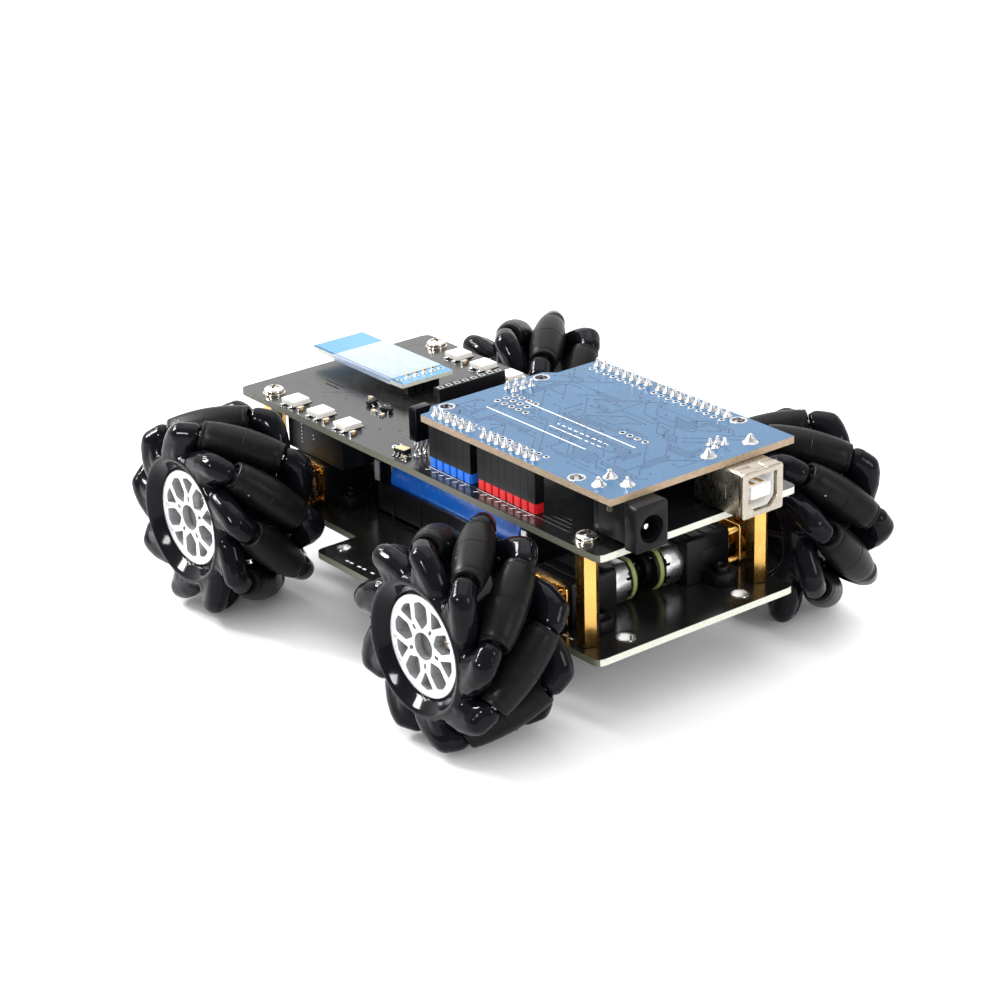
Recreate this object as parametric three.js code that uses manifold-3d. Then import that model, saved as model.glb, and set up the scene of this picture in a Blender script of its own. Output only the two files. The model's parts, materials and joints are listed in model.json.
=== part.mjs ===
// Mecanum wheel robot: two circuit-board plates on brass standoffs, four gearmotors,
// four mecanum wheels of nine barrel rollers, a battery holder and a plug-on controller.
// Millimetres, +Z up, +X towards the controller's USB socket, origin on the ground
// under the middle of the robot.
import * as THREE from 'three';
import { mergeVertices } from 'three/addons/utils/BufferGeometryUtils.js';
import Module from 'manifold-3d';

const wasm = await Module();
wasm.setup();

// ---- driving dimensions ----
const SEAT = 0.1;                      // gap left where two pieces rest on each other
const GAP = 0.35;                      // running clearance of the shafts
const ROLLER_GAP = 0.45;               // running clearance of the rollers and their pins
const MIL = 0.0254;                    // controller boards are laid out in thousandths of an inch

const WHEEL_R = 24.2;                  // rolling radius, also the axle's height
const WHEEL_HALF_W = 13.35;            // middle of the wheel to the outer rim's crest
const AXLE_X = { front: 43.5, rear: -48.9 };
const TRACK_HALF = 48.1;               // car's middle plane to the wheel's middle plane
const ROLLER_COUNT = 9;
const ROLLER_R = 4.5;
const ROLLER_HALF_L = 10;
const ROLLER_SEGMENTS = 8;
const CLEARANCE_SEGMENTS = 5;
const LUG_SEGMENTS = 5;
const RIM_SEGMENTS = 14;
const PIN_R = 0.8;
const PIN_END = 12.6;                  // roller's middle to its pin's tip
const LUG_R = 2.9;
const LUG_AT = 13.4;                   // roller's middle to the lug's middle, along the pin
const LUG_DROP = 1.3;                  // lug's middle below the pin, so it clears the ground
const LUG_SWEEP = 16;                  // degrees that the lug's root trails its tip round the axle
const RIM_R = 16.4;
const DRUM_R = 14.2;
const BOWL_R = 12;                     // hollow of the wheel that the spoked hub fills
const HUB_R = 11.65;
const HUB_FACE = 10.7;                 // spoked face, out from the wheel's middle
const HUB_POCKET = 1.8;
const HUB_FLOOR = 1.2;
const HUB_SPOKES = 5;
const BOSS_R = 4.5;
const BOSS_BACK = -9.2;
const SHAFT_R = 1.5;

const PLATE_T = 1.6;
const PLATE_HALF_W = 29.1;
const PLATE_REAR = -70.1;
const LOWER_FRONT = 66;
const UPPER_FRONT = 66.4;
const LOWER_TOP = 19.2;
const STANDOFF_H = 23;
const UPPER_TOP = LOWER_TOP + STANDOFF_H + PLATE_T;
const PLATE_CORNER = 2.2;
const LOBE_HALF_W = 41.1;              // side lobes between the wheels
const LOBE_REAR = -22.5;
const LOBE_FRONT = 17.1;
const STANDOFF_X = [57.8, -60.9];
const STANDOFF_Y = 25;
const STANDOFF_FLATS = 4.5;
const UNDER_REAR = { x: [-57, -34], y: [-24, -10], bottom: 31 };   // dark block hanging under the rear deck
const SCREW_R = 1.4;
const SCREW_HOLE_R = 1.75;
const SCREW_HEAD_R = 2.6;
const SCREW_HEAD_H = 1.9;

const BOARD_T = 1.6;
const BOARD_TOP = 56.4;                // controller's solder side, which faces up
const BOARD_X0 = 67.2;                 // its USB end
const BOARD_Y0 = -26.35;               // its near long edge
const BOARD_HOLE_R = 1.6;
const HEADER_W = 2.5;
const JACK = {
  x: 71.5, y: -18.65, length: 14, width: 9, height: 10.6,
  bore: 3.15, boreZ: 48.9, pin: 1, depth: 9,
};
const JACK_COLLAR = 3.6;               // thickness of the jack's full-size front
const JACK_TAIL = { halfWidth: 3.6, height: 9.6 };
const SOLDER = { baseR: 1.6, tipR: 0.5, height: 2 };
const SOLDER_AT = [[59.5, -22.9], [57.9, -18.4], [63.5, -18.4], [63.2, 5.1], [63.2, 17.4]];
const USB = { x: 73.3, y: 11.75, length: 16, width: 12, height: 10.6, depth: 9 };
const USB_TONGUE = { halfWidth: 2.8, halfHeight: 1.6 };

const MODULE = { rear: -73.3, front: -35.2, y: 3, width: 15.6, top: 48, thickness: 1 };
const MODULE_PINS_X = -38.3;

const HOLDER = { x: -2.6, length: 58, halfWidth: 16.6, wall: 1.3, floor: 1.5, sideTop: 27.6, endTop: 32.8 };
const CELL_R = 7.05;
const CELL_L = 50;
const CELL_Y = 8.1;
const CELL_CAP_R = 2.8;                // positive cap

const MOTOR = {
  halfWidth: 6, halfHeight: 4.85,      // gearbox and can, across and up
  front: 32.5,                         // gearbox's front plate, out from the middle plane
  bracketFront: 23.3, bracketBack: 10.4, ringEnd: 2.8, capEnd: 0.6,
};
const BRACKET = { halfWidth: 7, top: 30.3, earX: 9.6, earY: 18.5, earR: 3.6, earT: 2.8, holeR: 1.1 };

// ---- solids ----
function toSolid(geometry) {
  geometry.deleteAttribute('normal');
  geometry.deleteAttribute('uv');
  const merged = mergeVertices(geometry, 1e-4);
  const mesh = new wasm.Mesh({
    numProp: 3,
    vertProperties: new Float32Array(merged.attributes.position.array),
    triVerts: new Uint32Array(merged.index.array),
  });
  mesh.merge();
  return new wasm.Manifold(mesh);
}

function toGeometry(solid) {
  const mesh = solid.getMesh();
  const geometry = new THREE.BufferGeometry();
  geometry.setAttribute('position', new THREE.BufferAttribute(mesh.vertProperties, 3));
  geometry.setIndex(new THREE.BufferAttribute(mesh.triVerts, 1));
  geometry.computeVertexNormals();
  return geometry;
}

const join = (geometries) => geometries.map(toSolid).reduce((sum, solid) => sum.add(solid));
const cut = (solid, geometries) => geometries.map(toSolid).reduce((rest, tool) => rest.subtract(tool), solid);

// A box between two corners.
function block(x0, x1, y0, y1, z0, z1) {
  const geometry = new THREE.BoxGeometry(x1 - x0, y1 - y0, z1 - z0);
  return geometry.translate((x0 + x1) / 2, (y0 + y1) / 2, (z0 + z1) / 2);
}

// An upright cylinder, or prism with few segments, from z0 to z1.
function post(radius, z0, z1, x, y, segments = 16) {
  const geometry = new THREE.CylinderGeometry(radius, radius, z1 - z0, segments);
  return geometry.rotateX(Math.PI / 2).translate(x, y, (z0 + z1) / 2);
}

// A flat plate from a closed outline of [x, y, cornerRadius], with round holes [x, y, r].
function plate(outline, holes, z0, z1) {
  const corners = outline.map(([x, y]) => new THREE.Vector2(x, y));
  const shape = new THREE.Shape();
  corners.forEach((corner, i) => {
    const radius = outline[i][2] ?? 0;
    const before = corners.at(i - 1).clone().sub(corner).setLength(radius).add(corner);
    const after = corners[(i + 1) % corners.length].clone().sub(corner).setLength(radius).add(corner);
    if (i === 0) shape.moveTo(before.x, before.y);
    else shape.lineTo(before.x, before.y);
    if (radius > 0) shape.quadraticCurveTo(corner.x, corner.y, after.x, after.y);
  });
  shape.closePath();
  for (const [x, y, r] of holes) {
    const hole = new THREE.Path();
    hole.absarc(x, y, r, 0, 2 * Math.PI, true);
    shape.holes.push(hole);
  }
  const options = { depth: z1 - z0, bevelEnabled: false, curveSegments: 3 };
  return new THREE.ExtrudeGeometry(shape, options).translate(0, 0, z0);
}

const named = (name, geometry, material) => {
  const mesh = new THREE.Mesh(geometry, new THREE.MeshStandardMaterial(material));
  mesh.name = name;
  return mesh;
};

const BLACK_PLASTIC = { color: 0x111114, roughness: 0.25, metalness: 0 };
const BLACK_RUBBER = { color: 0x1a1a1b, roughness: 0.6, metalness: 0 };
const SILVER = { color: 0xc9cacc, roughness: 0.35, metalness: 0.8 };
const BRASS = { color: 0xc98f35, roughness: 0.3, metalness: 1 };
const BLACK_BOARD = { color: 0x0e0f10, roughness: 0.35, metalness: 0 };
const BLUE_BOARD = { color: 0x3b78ad, roughness: 0.45, metalness: 0 };
const BLUE_WRAP = { color: 0x1f6fd0, roughness: 0.3, metalness: 0 };
const STEEL = { color: 0xb9babd, roughness: 0.35, metalness: 0.9 };

const group = new THREE.Group();

// ---- chassis plates ----
const frontHoles = [-1, 1].map((side) => [60.9, side * 16.9, 1.9]);
const lobeHoles = [-19.3, 13.9].flatMap((x) => [-1, 1].map((side) => [x, side * 35, 1.6]));
const standoffPlaces = STANDOFF_X.flatMap((x) => [-1, 1].map((side) => [x, side * STANDOFF_Y]));
const screwHoles = standoffPlaces.map(([x, y]) => [x, y, SCREW_HOLE_R]);

function lowerOutline() {
  const side = (sign) => [
    [PLATE_REAR, sign * PLATE_HALF_W, PLATE_CORNER],
    [LOBE_REAR, sign * PLATE_HALF_W, 0.8],
    [LOBE_REAR, sign * LOBE_HALF_W, PLATE_CORNER],
    [LOBE_FRONT, sign * LOBE_HALF_W, PLATE_CORNER],
    [LOBE_FRONT, sign * PLATE_HALF_W, 0.8],
    [LOWER_FRONT, sign * PLATE_HALF_W, PLATE_CORNER],
  ];
  return [...side(-1), ...side(1).reverse()];
}

function upperOutline() {
  const ends = [[PLATE_REAR, -1], [UPPER_FRONT, -1], [UPPER_FRONT, 1], [PLATE_REAR, 1]];
  return ends.map(([x, sign]) => [x, sign * PLATE_HALF_W, PLATE_CORNER]);
}

const lowerHoles = [...screwHoles, ...frontHoles, ...lobeHoles];
const lowerPlate = plate(lowerOutline(), lowerHoles, LOWER_TOP - PLATE_T, LOWER_TOP);
const upperPlate = plate(upperOutline(), screwHoles, UPPER_TOP - PLATE_T, UPPER_TOP);
group.add(named('lower_plate', lowerPlate, BLACK_BOARD));
const underRear = block(...UNDER_REAR.x, ...UNDER_REAR.y, UNDER_REAR.bottom, UPPER_TOP - PLATE_T + 0.1);
group.add(named('upper_board', toGeometry(join([upperPlate, underRear])), BLACK_BOARD));

// A hexagonal brass standoff with the screw that holds each plate to it.
function standoff(x, y) {
  const hexR = STANDOFF_FLATS / Math.sqrt(3);
  const under = LOWER_TOP - PLATE_T - SEAT;
  const over = UPPER_TOP + SEAT;
  return toGeometry(join([
    post(hexR, LOWER_TOP + SEAT, UPPER_TOP - PLATE_T - SEAT, x, y, 6),
    post(SCREW_R, under - 0.5, over + 0.5, x, y, 10),
    post(SCREW_HEAD_R, over, over + SCREW_HEAD_H, x, y, 12),
    post(SCREW_HEAD_R, under - SCREW_HEAD_H, under, x, y, 12),
  ]));
}

for (const [x, y] of standoffPlaces) {
  const place = `${x > 0 ? 'front' : 'rear'}_${y > 0 ? 'left' : 'right'}`;
  group.add(named(`standoff_${place}`, standoff(x, y), BRASS));
}

// ---- controller, plugged in upside down on its own header strips ----
const boardX = (mil) => BOARD_X0 - mil * MIL;
const boardY = (mil) => BOARD_Y0 + mil * MIL;
const headerStrips = [[1050, 1850, 100], [1950, 2550, 100], [1750, 2550, 2000], [690, 1690, 2000]];

// The bored barrel jack under the board: a full-size collar, a narrower tail and a centre pin.
function barrelJack(under) {
  const { x, y, length, width, height, bore, boreZ, pin, depth } = JACK;
  const collarBack = x - JACK_COLLAR;
  const collar = block(collarBack, x, y - width / 2, y + width / 2, under - height, under + 0.1);
  const tail = block(x - length, collarBack + 0.1, y - JACK_TAIL.halfWidth, y + JACK_TAIL.halfWidth,
    under - JACK_TAIL.height, under + 0.1);
  const rod = (radius, x0, x1, segments) => new THREE.CylinderGeometry(radius, radius, x1 - x0, segments)
    .rotateZ(Math.PI / 2).translate((x0 + x1) / 2, y, boreZ);
  const bored = cut(join([collar, tail]), [rod(bore, x - depth, x + 1, 14)]);
  return bored.add(toSolid(rod(pin, x - depth - 1, x - 1, 8)));
}

function controllerBoard() {
  const corners = [[0, 0], [2600, 0], [2600, 100], [2700, 200], [2700, 1490], [2600, 1590],
    [2600, 2040], [2540, 2100], [0, 2100]];
  const outline = corners.map(([x, y]) => [boardX(x), boardY(y)]).reverse();
  const holePlaces = [[550, 100], [600, 2000], [2600, 1400], [2600, 300]];
  const holes = holePlaces.map(([x, y]) => [boardX(x), boardY(y), BOARD_HOLE_R]);
  const under = BOARD_TOP - BOARD_T;
  const strips = headerStrips.map(([from, to, row]) => block(boardX(to), boardX(from),
    boardY(row) - HEADER_W / 2, boardY(row) + HEADER_W / 2, UPPER_TOP + SEAT, under + 0.1));
  const { baseR, tipR, height } = SOLDER;
  const cones = SOLDER_AT.map(([x, y]) => new THREE.CylinderGeometry(tipR, baseR, height + 0.1, 7)
    .rotateX(Math.PI / 2).translate(x, y, BOARD_TOP + height / 2 - 0.05));
  const board = join([plate(outline, holes, under, BOARD_TOP), ...strips, ...cones]);
  return toGeometry(board.add(barrelJack(under)));
}

// The USB socket hangs under the board with its chamfered corners down.
function usbSocket() {
  const top = BOARD_TOP - BOARD_T - SEAT;
  const middle = top - USB.height / 2;
  const shell = block(USB.x - USB.length, USB.x, USB.y - USB.width / 2, USB.y + USB.width / 2,
    top - USB.height, top);
  const mouth = new THREE.Shape([[-4.2, 3.9], [-4.2, -2], [-2.4, -3.9], [2.4, -3.9], [4.2, -2], [4.2, 3.9]]
    .map(([y, z]) => new THREE.Vector2(y, z)));
  const cavity = new THREE.ExtrudeGeometry(mouth, { depth: USB.depth + 1, bevelEnabled: false })
    .rotateX(Math.PI / 2).rotateZ(Math.PI / 2).translate(USB.x - USB.depth, USB.y, middle);
  const tongue = block(USB.x - USB.depth - 0.5, USB.x - 0.6, USB.y - USB_TONGUE.halfWidth,
    USB.y + USB_TONGUE.halfWidth, middle - USB_TONGUE.halfHeight, middle + USB_TONGUE.halfHeight);
  return toGeometry(cut(join([shell]), [cavity]).add(toSolid(tongue)));
}

group.add(named('controller_board', controllerBoard(), BLUE_BOARD));
group.add(named('usb_socket', usbSocket(), STEEL));

// ---- wireless module on its four-pin header ----
const moduleBoard = block(MODULE.rear, MODULE.front, MODULE.y - MODULE.width / 2, MODULE.y + MODULE.width / 2,
  MODULE.top - MODULE.thickness, MODULE.top);
const moduleHeader = block(MODULE_PINS_X - 1.25, MODULE_PINS_X + 1.25, MODULE.y - 5, MODULE.y + 5,
  UPPER_TOP + SEAT, MODULE.top - MODULE.thickness + 0.1);
group.add(named('wireless_module', toGeometry(join([moduleBoard, moduleHeader])), BLUE_BOARD));

// ---- battery holder and its two cells ----
function batteryHolder() {
  const { x, length, halfWidth, wall, floor, sideTop, endTop } = HOLDER;
  const base = LOWER_TOP + SEAT;
  const rear = x - length / 2;
  const front = x + length / 2;
  const wallsY = [-halfWidth, -wall / 2, halfWidth - wall];
  const walls = wallsY.map((y) => block(rear, front, y, y + wall, base, sideTop));
  const ends = [rear, front - wall].map((end) => block(end, end + wall, -halfWidth, halfWidth, base, endTop));
  return toGeometry(join([block(rear, front, -halfWidth, halfWidth, base, base + floor), ...walls, ...ends]));
}

const cellZ = LOWER_TOP + SEAT + HOLDER.floor + SEAT + CELL_R;
const cellEnd = CELL_L / 2;
const cellRim = CELL_R - 0.45;
const cellProfile = [
  [0, -cellEnd], [cellRim, -cellEnd], [CELL_R, -cellEnd + 0.5], [CELL_R, cellEnd - 0.9],
  [cellRim, cellEnd - 0.6], [CELL_CAP_R, cellEnd - 0.6], [CELL_CAP_R, cellEnd], [0, cellEnd],
].map(([r, a]) => new THREE.Vector2(r, a));
for (const [side, facing] of [['right', -1], ['left', 1]]) {
  const cell = new THREE.LatheGeometry(cellProfile, 14).rotateZ(facing * Math.PI / 2);
  group.add(named(`battery_cell_${side}`, cell.translate(HOLDER.x, facing * CELL_Y, cellZ), BLUE_WRAP));
}
group.add(named('battery_holder', batteryHolder(), BLACK_PLASTIC));

// ---- gearmotors: gearbox, bracket, flat-sided can and rear cap, built along +Y outwards ----
function gearmotor() {
  const m = MOTOR;
  const z = WHEEL_R;
  const overlap = 0.2;
  const lathed = (radius, y0, y1) => new THREE.CylinderGeometry(radius, radius, y1 - y0, 14)
    .translate(0, (y0 + y1) / 2, z);
  const flats = block(-m.halfWidth - 1, m.halfWidth + 1, 0, m.front, z - m.halfHeight, z + m.halfHeight);
  const can = toSolid(lathed(m.halfWidth, m.ringEnd, m.bracketBack + overlap)).intersect(toSolid(flats));
  const base = LOWER_TOP + SEAT;
  const earTop = base + BRACKET.earT;
  const { earX, earY, earR } = BRACKET;
  const onEars = (radius, z0, z1, segments) => [-1, 1].map((side) => post(radius, z0, z1,
    side * earX, earY, segments));
  const body = join([
    block(-m.halfWidth, m.halfWidth, m.bracketFront - overlap, m.front, z - m.halfHeight, z + m.halfHeight),
    block(-BRACKET.halfWidth, BRACKET.halfWidth, m.bracketBack, m.bracketFront, base, BRACKET.top),
    block(-earX, earX, earY - earR, earY + earR, base, earTop),
    ...onEars(earR, base, earTop, 12),
    lathed(m.halfHeight - 0.9, m.capEnd, m.ringEnd + overlap),
  ]).add(can);
  const shaftHole = lathed(SHAFT_R + GAP, m.front - 3, m.front + 1);
  return toGeometry(cut(body, [shaftHole, ...onEars(BRACKET.holeR, base - 1, earTop + 1, 8)]));
}

// ---- mecanum wheel, built with its axle along +Z and its outer face at +Z ----
const SLANT = Math.SQRT1_2;            // sine and cosine of the rollers' 45 degree slant
const ROLLER_RING_R = WHEEL_R - ROLLER_R;

// Largest radius that keeps the roller inside the wheel's rolling cylinder, at s along its pin.
function rollerRadius(s) {
  const tangential = s * SLANT;
  const steps = Array.from({ length: 41 }, (_, i) => (i - 20) * 0.04);
  const reach = steps.map((turn) => {
    const across = Math.sin(turn) * SLANT;
    const up = Math.cos(turn);
    const a = across * across + up * up;
    const b = tangential * across + ROLLER_RING_R * up;
    const c = tangential * tangential + ROLLER_RING_R * ROLLER_RING_R - WHEEL_R * WHEEL_R;
    return (Math.sqrt(b * b - a * c) - b) / a;
  });
  return Math.min(...reach);
}

function rollerGeometry(stationsAt, segments, grow) {
  const half = ROLLER_HALF_L + grow;
  const stations = stationsAt.map((k) => new THREE.Vector2(rollerRadius(k * ROLLER_HALF_L) + grow, k * half));
  const pin = PIN_R + grow;
  const tip = PIN_END + grow;
  const below = [[0, -tip], [pin, -tip], [pin, -half]].map(([r, a]) => new THREE.Vector2(r, a));
  const above = [[pin, half], [pin, tip], [0, tip]].map(([r, a]) => new THREE.Vector2(r, a));
  return new THREE.LatheGeometry([...below, ...stations, ...above], segments);
}

// Places a shape whose own axis is +Y on the pin of the roller at the given angle.
function rollerPlace(angle, hand) {
  const radial = new THREE.Vector3(Math.cos(angle), Math.sin(angle), 0);
  const tangent = new THREE.Vector3(-Math.sin(angle), Math.cos(angle), 0);
  const pin = tangent.multiplyScalar(hand * SLANT).add(new THREE.Vector3(0, 0, SLANT));
  const place = new THREE.Matrix4().makeBasis(pin.clone().cross(radial), pin, radial);
  return place.setPosition(radial.multiplyScalar(ROLLER_RING_R));
}

// One teardrop lug: a rounded bulb round the end of a pin, swept back to the rim behind it.
function lug(place, end, hand) {
  const bulb = new THREE.Vector3(0, end * LUG_AT, 0).applyMatrix4(place);
  const inward = new THREE.Vector3(-bulb.x, -bulb.y, 0).setLength(LUG_DROP);
  bulb.add(inward);
  const root = new THREE.Vector3(bulb.x, bulb.y, 0).setLength(RIM_R - LUG_R);
  root.setZ(end * (WHEEL_HALF_W - LUG_R - 0.2));
  root.applyAxisAngle(new THREE.Vector3(0, 0, 1), end * hand * THREE.MathUtils.degToRad(LUG_SWEEP));
  const along = root.clone().sub(bulb);
  const up = new THREE.Vector3(0, 1, 0);
  const turn = new THREE.Quaternion().setFromUnitVectors(up, along.clone().normalize());
  const outline = [[0, -1], [0.7, -0.7], [1, 0.1], [0.8, 1], [0, 1]]
    .map(([r, a]) => new THREE.Vector2(r * LUG_R, a * (a > 0.5 ? along.length() : LUG_R)));
  const body = new THREE.LatheGeometry(outline, LUG_SEGMENTS);
  return body.applyQuaternion(turn).translate(bulb.x, bulb.y, bulb.z);
}

function wheelFrame(angles, hand) {
  const w = WHEEL_HALF_W;
  const sections = [
    [SHAFT_R + GAP, -w], [15.4, -w], [RIM_R, -w + 0.9], [RIM_R, -9.6], [DRUM_R, -7.4],
    [DRUM_R, 7.4], [RIM_R, 9.6], [RIM_R, w - 0.9], [15, w], [BOWL_R, HUB_FACE + 0.2],
    [BOWL_R, -9.6], [SHAFT_R + GAP, -9.6], [SHAFT_R + GAP, -w],
  ];
  const profile = sections.map(([r, a]) => new THREE.Vector2(r, a));
  const ring = new THREE.LatheGeometry(profile, RIM_SEGMENTS).rotateX(Math.PI / 2);
  const places = angles.map((angle) => rollerPlace(angle, hand));
  const lugs = places.flatMap((place) => [-1, 1].map((end) => lug(place, end, hand)));
  const clearance = rollerGeometry([-1, 0, 1], CLEARANCE_SEGMENTS, ROLLER_GAP);
  const clearances = places.map((place) => clearance.clone().applyMatrix4(place));
  return toGeometry(cut(join([ring, ...lugs]), clearances));
}

// Spoked silver hub with the boss and the gearbox shaft that turn with it.
function wheelHub(phase) {
  const face = new THREE.Shape().absarc(0, 0, HUB_R, 0, 2 * Math.PI, false);
  const corner = (radius, degrees) => {
    const angle = phase + THREE.MathUtils.degToRad(degrees);
    return new THREE.Vector2(radius * Math.cos(angle), radius * Math.sin(angle));
  };
  for (let i = 0; i < HUB_SPOKES; i++) {
    const spoke = i * 360 / HUB_SPOKES;
    const fork = [[5.6, spoke], [10, spoke - 13], [10, spoke + 13]];
    const open = [[3.9, spoke + 36], [6, spoke + 15], [9.9, spoke + 24], [9.9, spoke + 48], [6, spoke + 57]];
    for (const outline of [fork, open]) {
      face.holes.push(new THREE.Path(outline.map(([radius, degrees]) => corner(radius, degrees))));
    }
  }
  const back = HUB_FACE - HUB_POCKET;
  const options = { depth: HUB_POCKET + 0.1, bevelEnabled: false, curveSegments: 8 };
  const spokes = new THREE.ExtrudeGeometry(face, options).translate(0, 0, back - 0.1);
  const tip = TRACK_HALF - MOTOR.front + 2;
  return toGeometry(join([
    spokes,
    post(HUB_R, back - HUB_FLOOR, back, 0, 0, 16),
    post(BOSS_R, BOSS_BACK, back - 0.5, 0, 0, 10),
    post(SHAFT_R, -tip, BOSS_BACK + 0.2, 0, 0, 8),
  ]));
}

// hand is the rollers' slant, phase the angle of the first roller, spoke the hub's first fork.
const WHEELS = [
  { end: 'front', side: 'right', hand: -1, phase: 36.5, spoke: 58 },
  { end: 'rear', side: 'right', hand: 1, phase: -15, spoke: 88.6 },
  { end: 'front', side: 'left', hand: 1, phase: -30, spoke: 90 },
  { end: 'rear', side: 'left', hand: -1, phase: -36.5, spoke: 90 },
];

for (const wheel of WHEELS) {
  const { hand } = wheel;
  const outward = wheel.side === 'left' ? 1 : -1;
  const place = `${wheel.end}_${wheel.side}`;
  const step = 2 * Math.PI / ROLLER_COUNT;
  const phase = THREE.MathUtils.degToRad(wheel.phase);
  const angles = Array.from({ length: ROLLER_COUNT }, (_, i) => phase + i * step);

  const assembly = new THREE.Group();
  assembly.position.set(AXLE_X[wheel.end], outward * TRACK_HALF, WHEEL_R);
  assembly.rotation.x = -outward * Math.PI / 2;
  assembly.add(named(`wheel_frame_${place}`, wheelFrame(angles, hand), BLACK_PLASTIC));
  assembly.add(named(`wheel_hub_${place}`, wheelHub(THREE.MathUtils.degToRad(wheel.spoke)), SILVER));
  angles.forEach((angle, i) => {
    const roller = rollerGeometry([-1, -0.5, 0, 0.5, 1], ROLLER_SEGMENTS, 0);
    roller.applyMatrix4(rollerPlace(angle, hand));
    assembly.add(named(`roller_${place}_${i + 1}`, roller, BLACK_RUBBER));
  });
  group.add(assembly);

  const motor = named(`gearmotor_${place}`, gearmotor(), STEEL);
  motor.rotation.z = outward === 1 ? 0 : Math.PI;
  motor.position.x = AXLE_X[wheel.end];
  group.add(motor);
}

export default group;
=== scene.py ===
"""Looks of the mecanum wheel robot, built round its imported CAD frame.

Shapes are drawn in millimetres in the robot's own frame and scaled to metres as each piece is finished.
"""

import json
import math
import random

import bmesh
import bpy
from mathutils import Matrix, Vector


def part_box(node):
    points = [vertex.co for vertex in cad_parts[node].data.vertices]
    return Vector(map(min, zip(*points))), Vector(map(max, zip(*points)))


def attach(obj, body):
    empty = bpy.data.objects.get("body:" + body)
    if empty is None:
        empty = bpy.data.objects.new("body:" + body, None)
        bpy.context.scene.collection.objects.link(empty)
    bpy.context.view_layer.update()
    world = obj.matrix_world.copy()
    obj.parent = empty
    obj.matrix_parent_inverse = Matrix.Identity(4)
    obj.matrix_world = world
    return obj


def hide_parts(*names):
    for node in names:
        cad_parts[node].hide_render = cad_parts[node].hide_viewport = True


MM = 0.001
SIDES = {"right": -1, "left": 1}
ENDS = ("front", "rear")

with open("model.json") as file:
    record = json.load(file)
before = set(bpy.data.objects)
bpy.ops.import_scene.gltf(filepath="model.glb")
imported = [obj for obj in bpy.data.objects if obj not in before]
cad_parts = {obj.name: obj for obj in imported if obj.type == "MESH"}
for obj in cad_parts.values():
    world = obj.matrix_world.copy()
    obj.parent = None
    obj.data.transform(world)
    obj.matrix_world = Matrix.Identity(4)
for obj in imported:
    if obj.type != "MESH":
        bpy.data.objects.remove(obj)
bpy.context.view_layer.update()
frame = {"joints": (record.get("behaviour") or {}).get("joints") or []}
rng = random.Random(7)


def box_mm(node):
    """Lowest and highest corners of a CAD node, in millimetres."""
    low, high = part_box(node)
    return low / MM, high / MM


def joint(name):
    return next(j for j in frame["joints"] if j["name"] == name)


# ---- materials ----
def preset(node, **inputs):
    """Sets a node's inputs by their names, with _ for each space."""
    for name, value in inputs.items():
        node.inputs[name.replace("_", " ")].default_value = value
    return node


class Paint:
    """A node material: a Principled shader whose colour, roughness and bump come from noise."""

    def __init__(self, name, color, rough=0.4, metallic=0.0, coat=0.0, specular=0.5):
        self.material = bpy.data.materials.new(name)
        self.material.use_nodes = True
        self.tree = self.material.node_tree
        self.shader = self.tree.nodes["Principled BSDF"]
        preset(self.shader, Base_Color=(*color, 1.0), Roughness=rough, Metallic=metallic, Coat_Weight=coat,
               Coat_Roughness=0.05, Specular_IOR_Level=specular)
        self.color = color
        self.height = None
        self.object_space = self.node("ShaderNodeTexCoord").outputs["Object"]

    def node(self, kind, **inputs):
        return preset(self.tree.nodes.new(kind), **inputs)

    def link(self, source, target):
        self.tree.links.new(source, target)

    def noise(self, per_mm, detail=4, stretch=(1, 1, 1)):
        """Noise with the given number of cells in a millimetre."""
        mapping = self.node("ShaderNodeMapping", Scale=stretch)
        self.link(self.object_space, mapping.inputs["Vector"])
        made = self.node("ShaderNodeTexNoise", Scale=per_mm / MM, Detail=detail, Roughness=0.6)
        self.link(mapping.outputs["Vector"], made.inputs["Vector"])
        return made.outputs["Fac"]

    def specks(self, per_mm, size):
        """1 inside scattered round specks, 0 between them."""
        cells = self.node("ShaderNodeTexVoronoi", Scale=per_mm / MM)
        self.link(self.object_space, cells.inputs["Vector"])
        near = self.node("ShaderNodeMath")
        near.operation = "LESS_THAN"
        near.inputs[1].default_value = size
        self.link(cells.outputs["Distance"], near.inputs[0])
        return near.outputs["Value"]

    def spread(self, source, low, high, frm=(0.3, 0.7)):
        ramp = self.node("ShaderNodeMapRange", From_Min=frm[0], From_Max=frm[1], To_Min=low, To_Max=high)
        self.link(source, ramp.inputs["Value"])
        return ramp.outputs["Result"]

    def mix(self, source, other, below=None):
        """Blends the colour so far, or the plain one, towards another colour where source is 1."""
        made = self.node("ShaderNodeMix")
        made.data_type = "RGBA"
        preset(made, A=(*self.color, 1.0), B=(*other, 1.0))
        if below is not None:
            self.link(below, made.inputs["A"])
        self.link(source, made.inputs["Factor"])
        self.link(made.outputs["Result"], self.shader.inputs["Base Color"])
        return made.outputs["Result"]

    def roughness(self, source, low, high):
        self.link(self.spread(source, low, high), self.shader.inputs["Roughness"])

    def bump(self, source, depth_mm, strength=1.0):
        made = self.node("ShaderNodeBump", Strength=strength, Distance=depth_mm * MM)
        self.link(source, made.inputs["Height"])
        if self.height is not None:
            self.link(self.height, made.inputs["Normal"])
        self.height = made.outputs["Normal"]
        self.link(self.height, self.shader.inputs["Normal"])


def black_gloss():
    paint = Paint("gloss_black_plastic", (0.003, 0.003, 0.0045), 0.1, specular=0.1)
    flow = paint.noise(0.12, 2)
    paint.mix(paint.spread(flow, 0.0, 0.6), (0.007, 0.007, 0.0105))
    paint.roughness(paint.noise(0.5), 0.06, 0.13)
    paint.bump(paint.noise(0.25, 1), 0.05, 0.15)
    return paint.material


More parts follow.
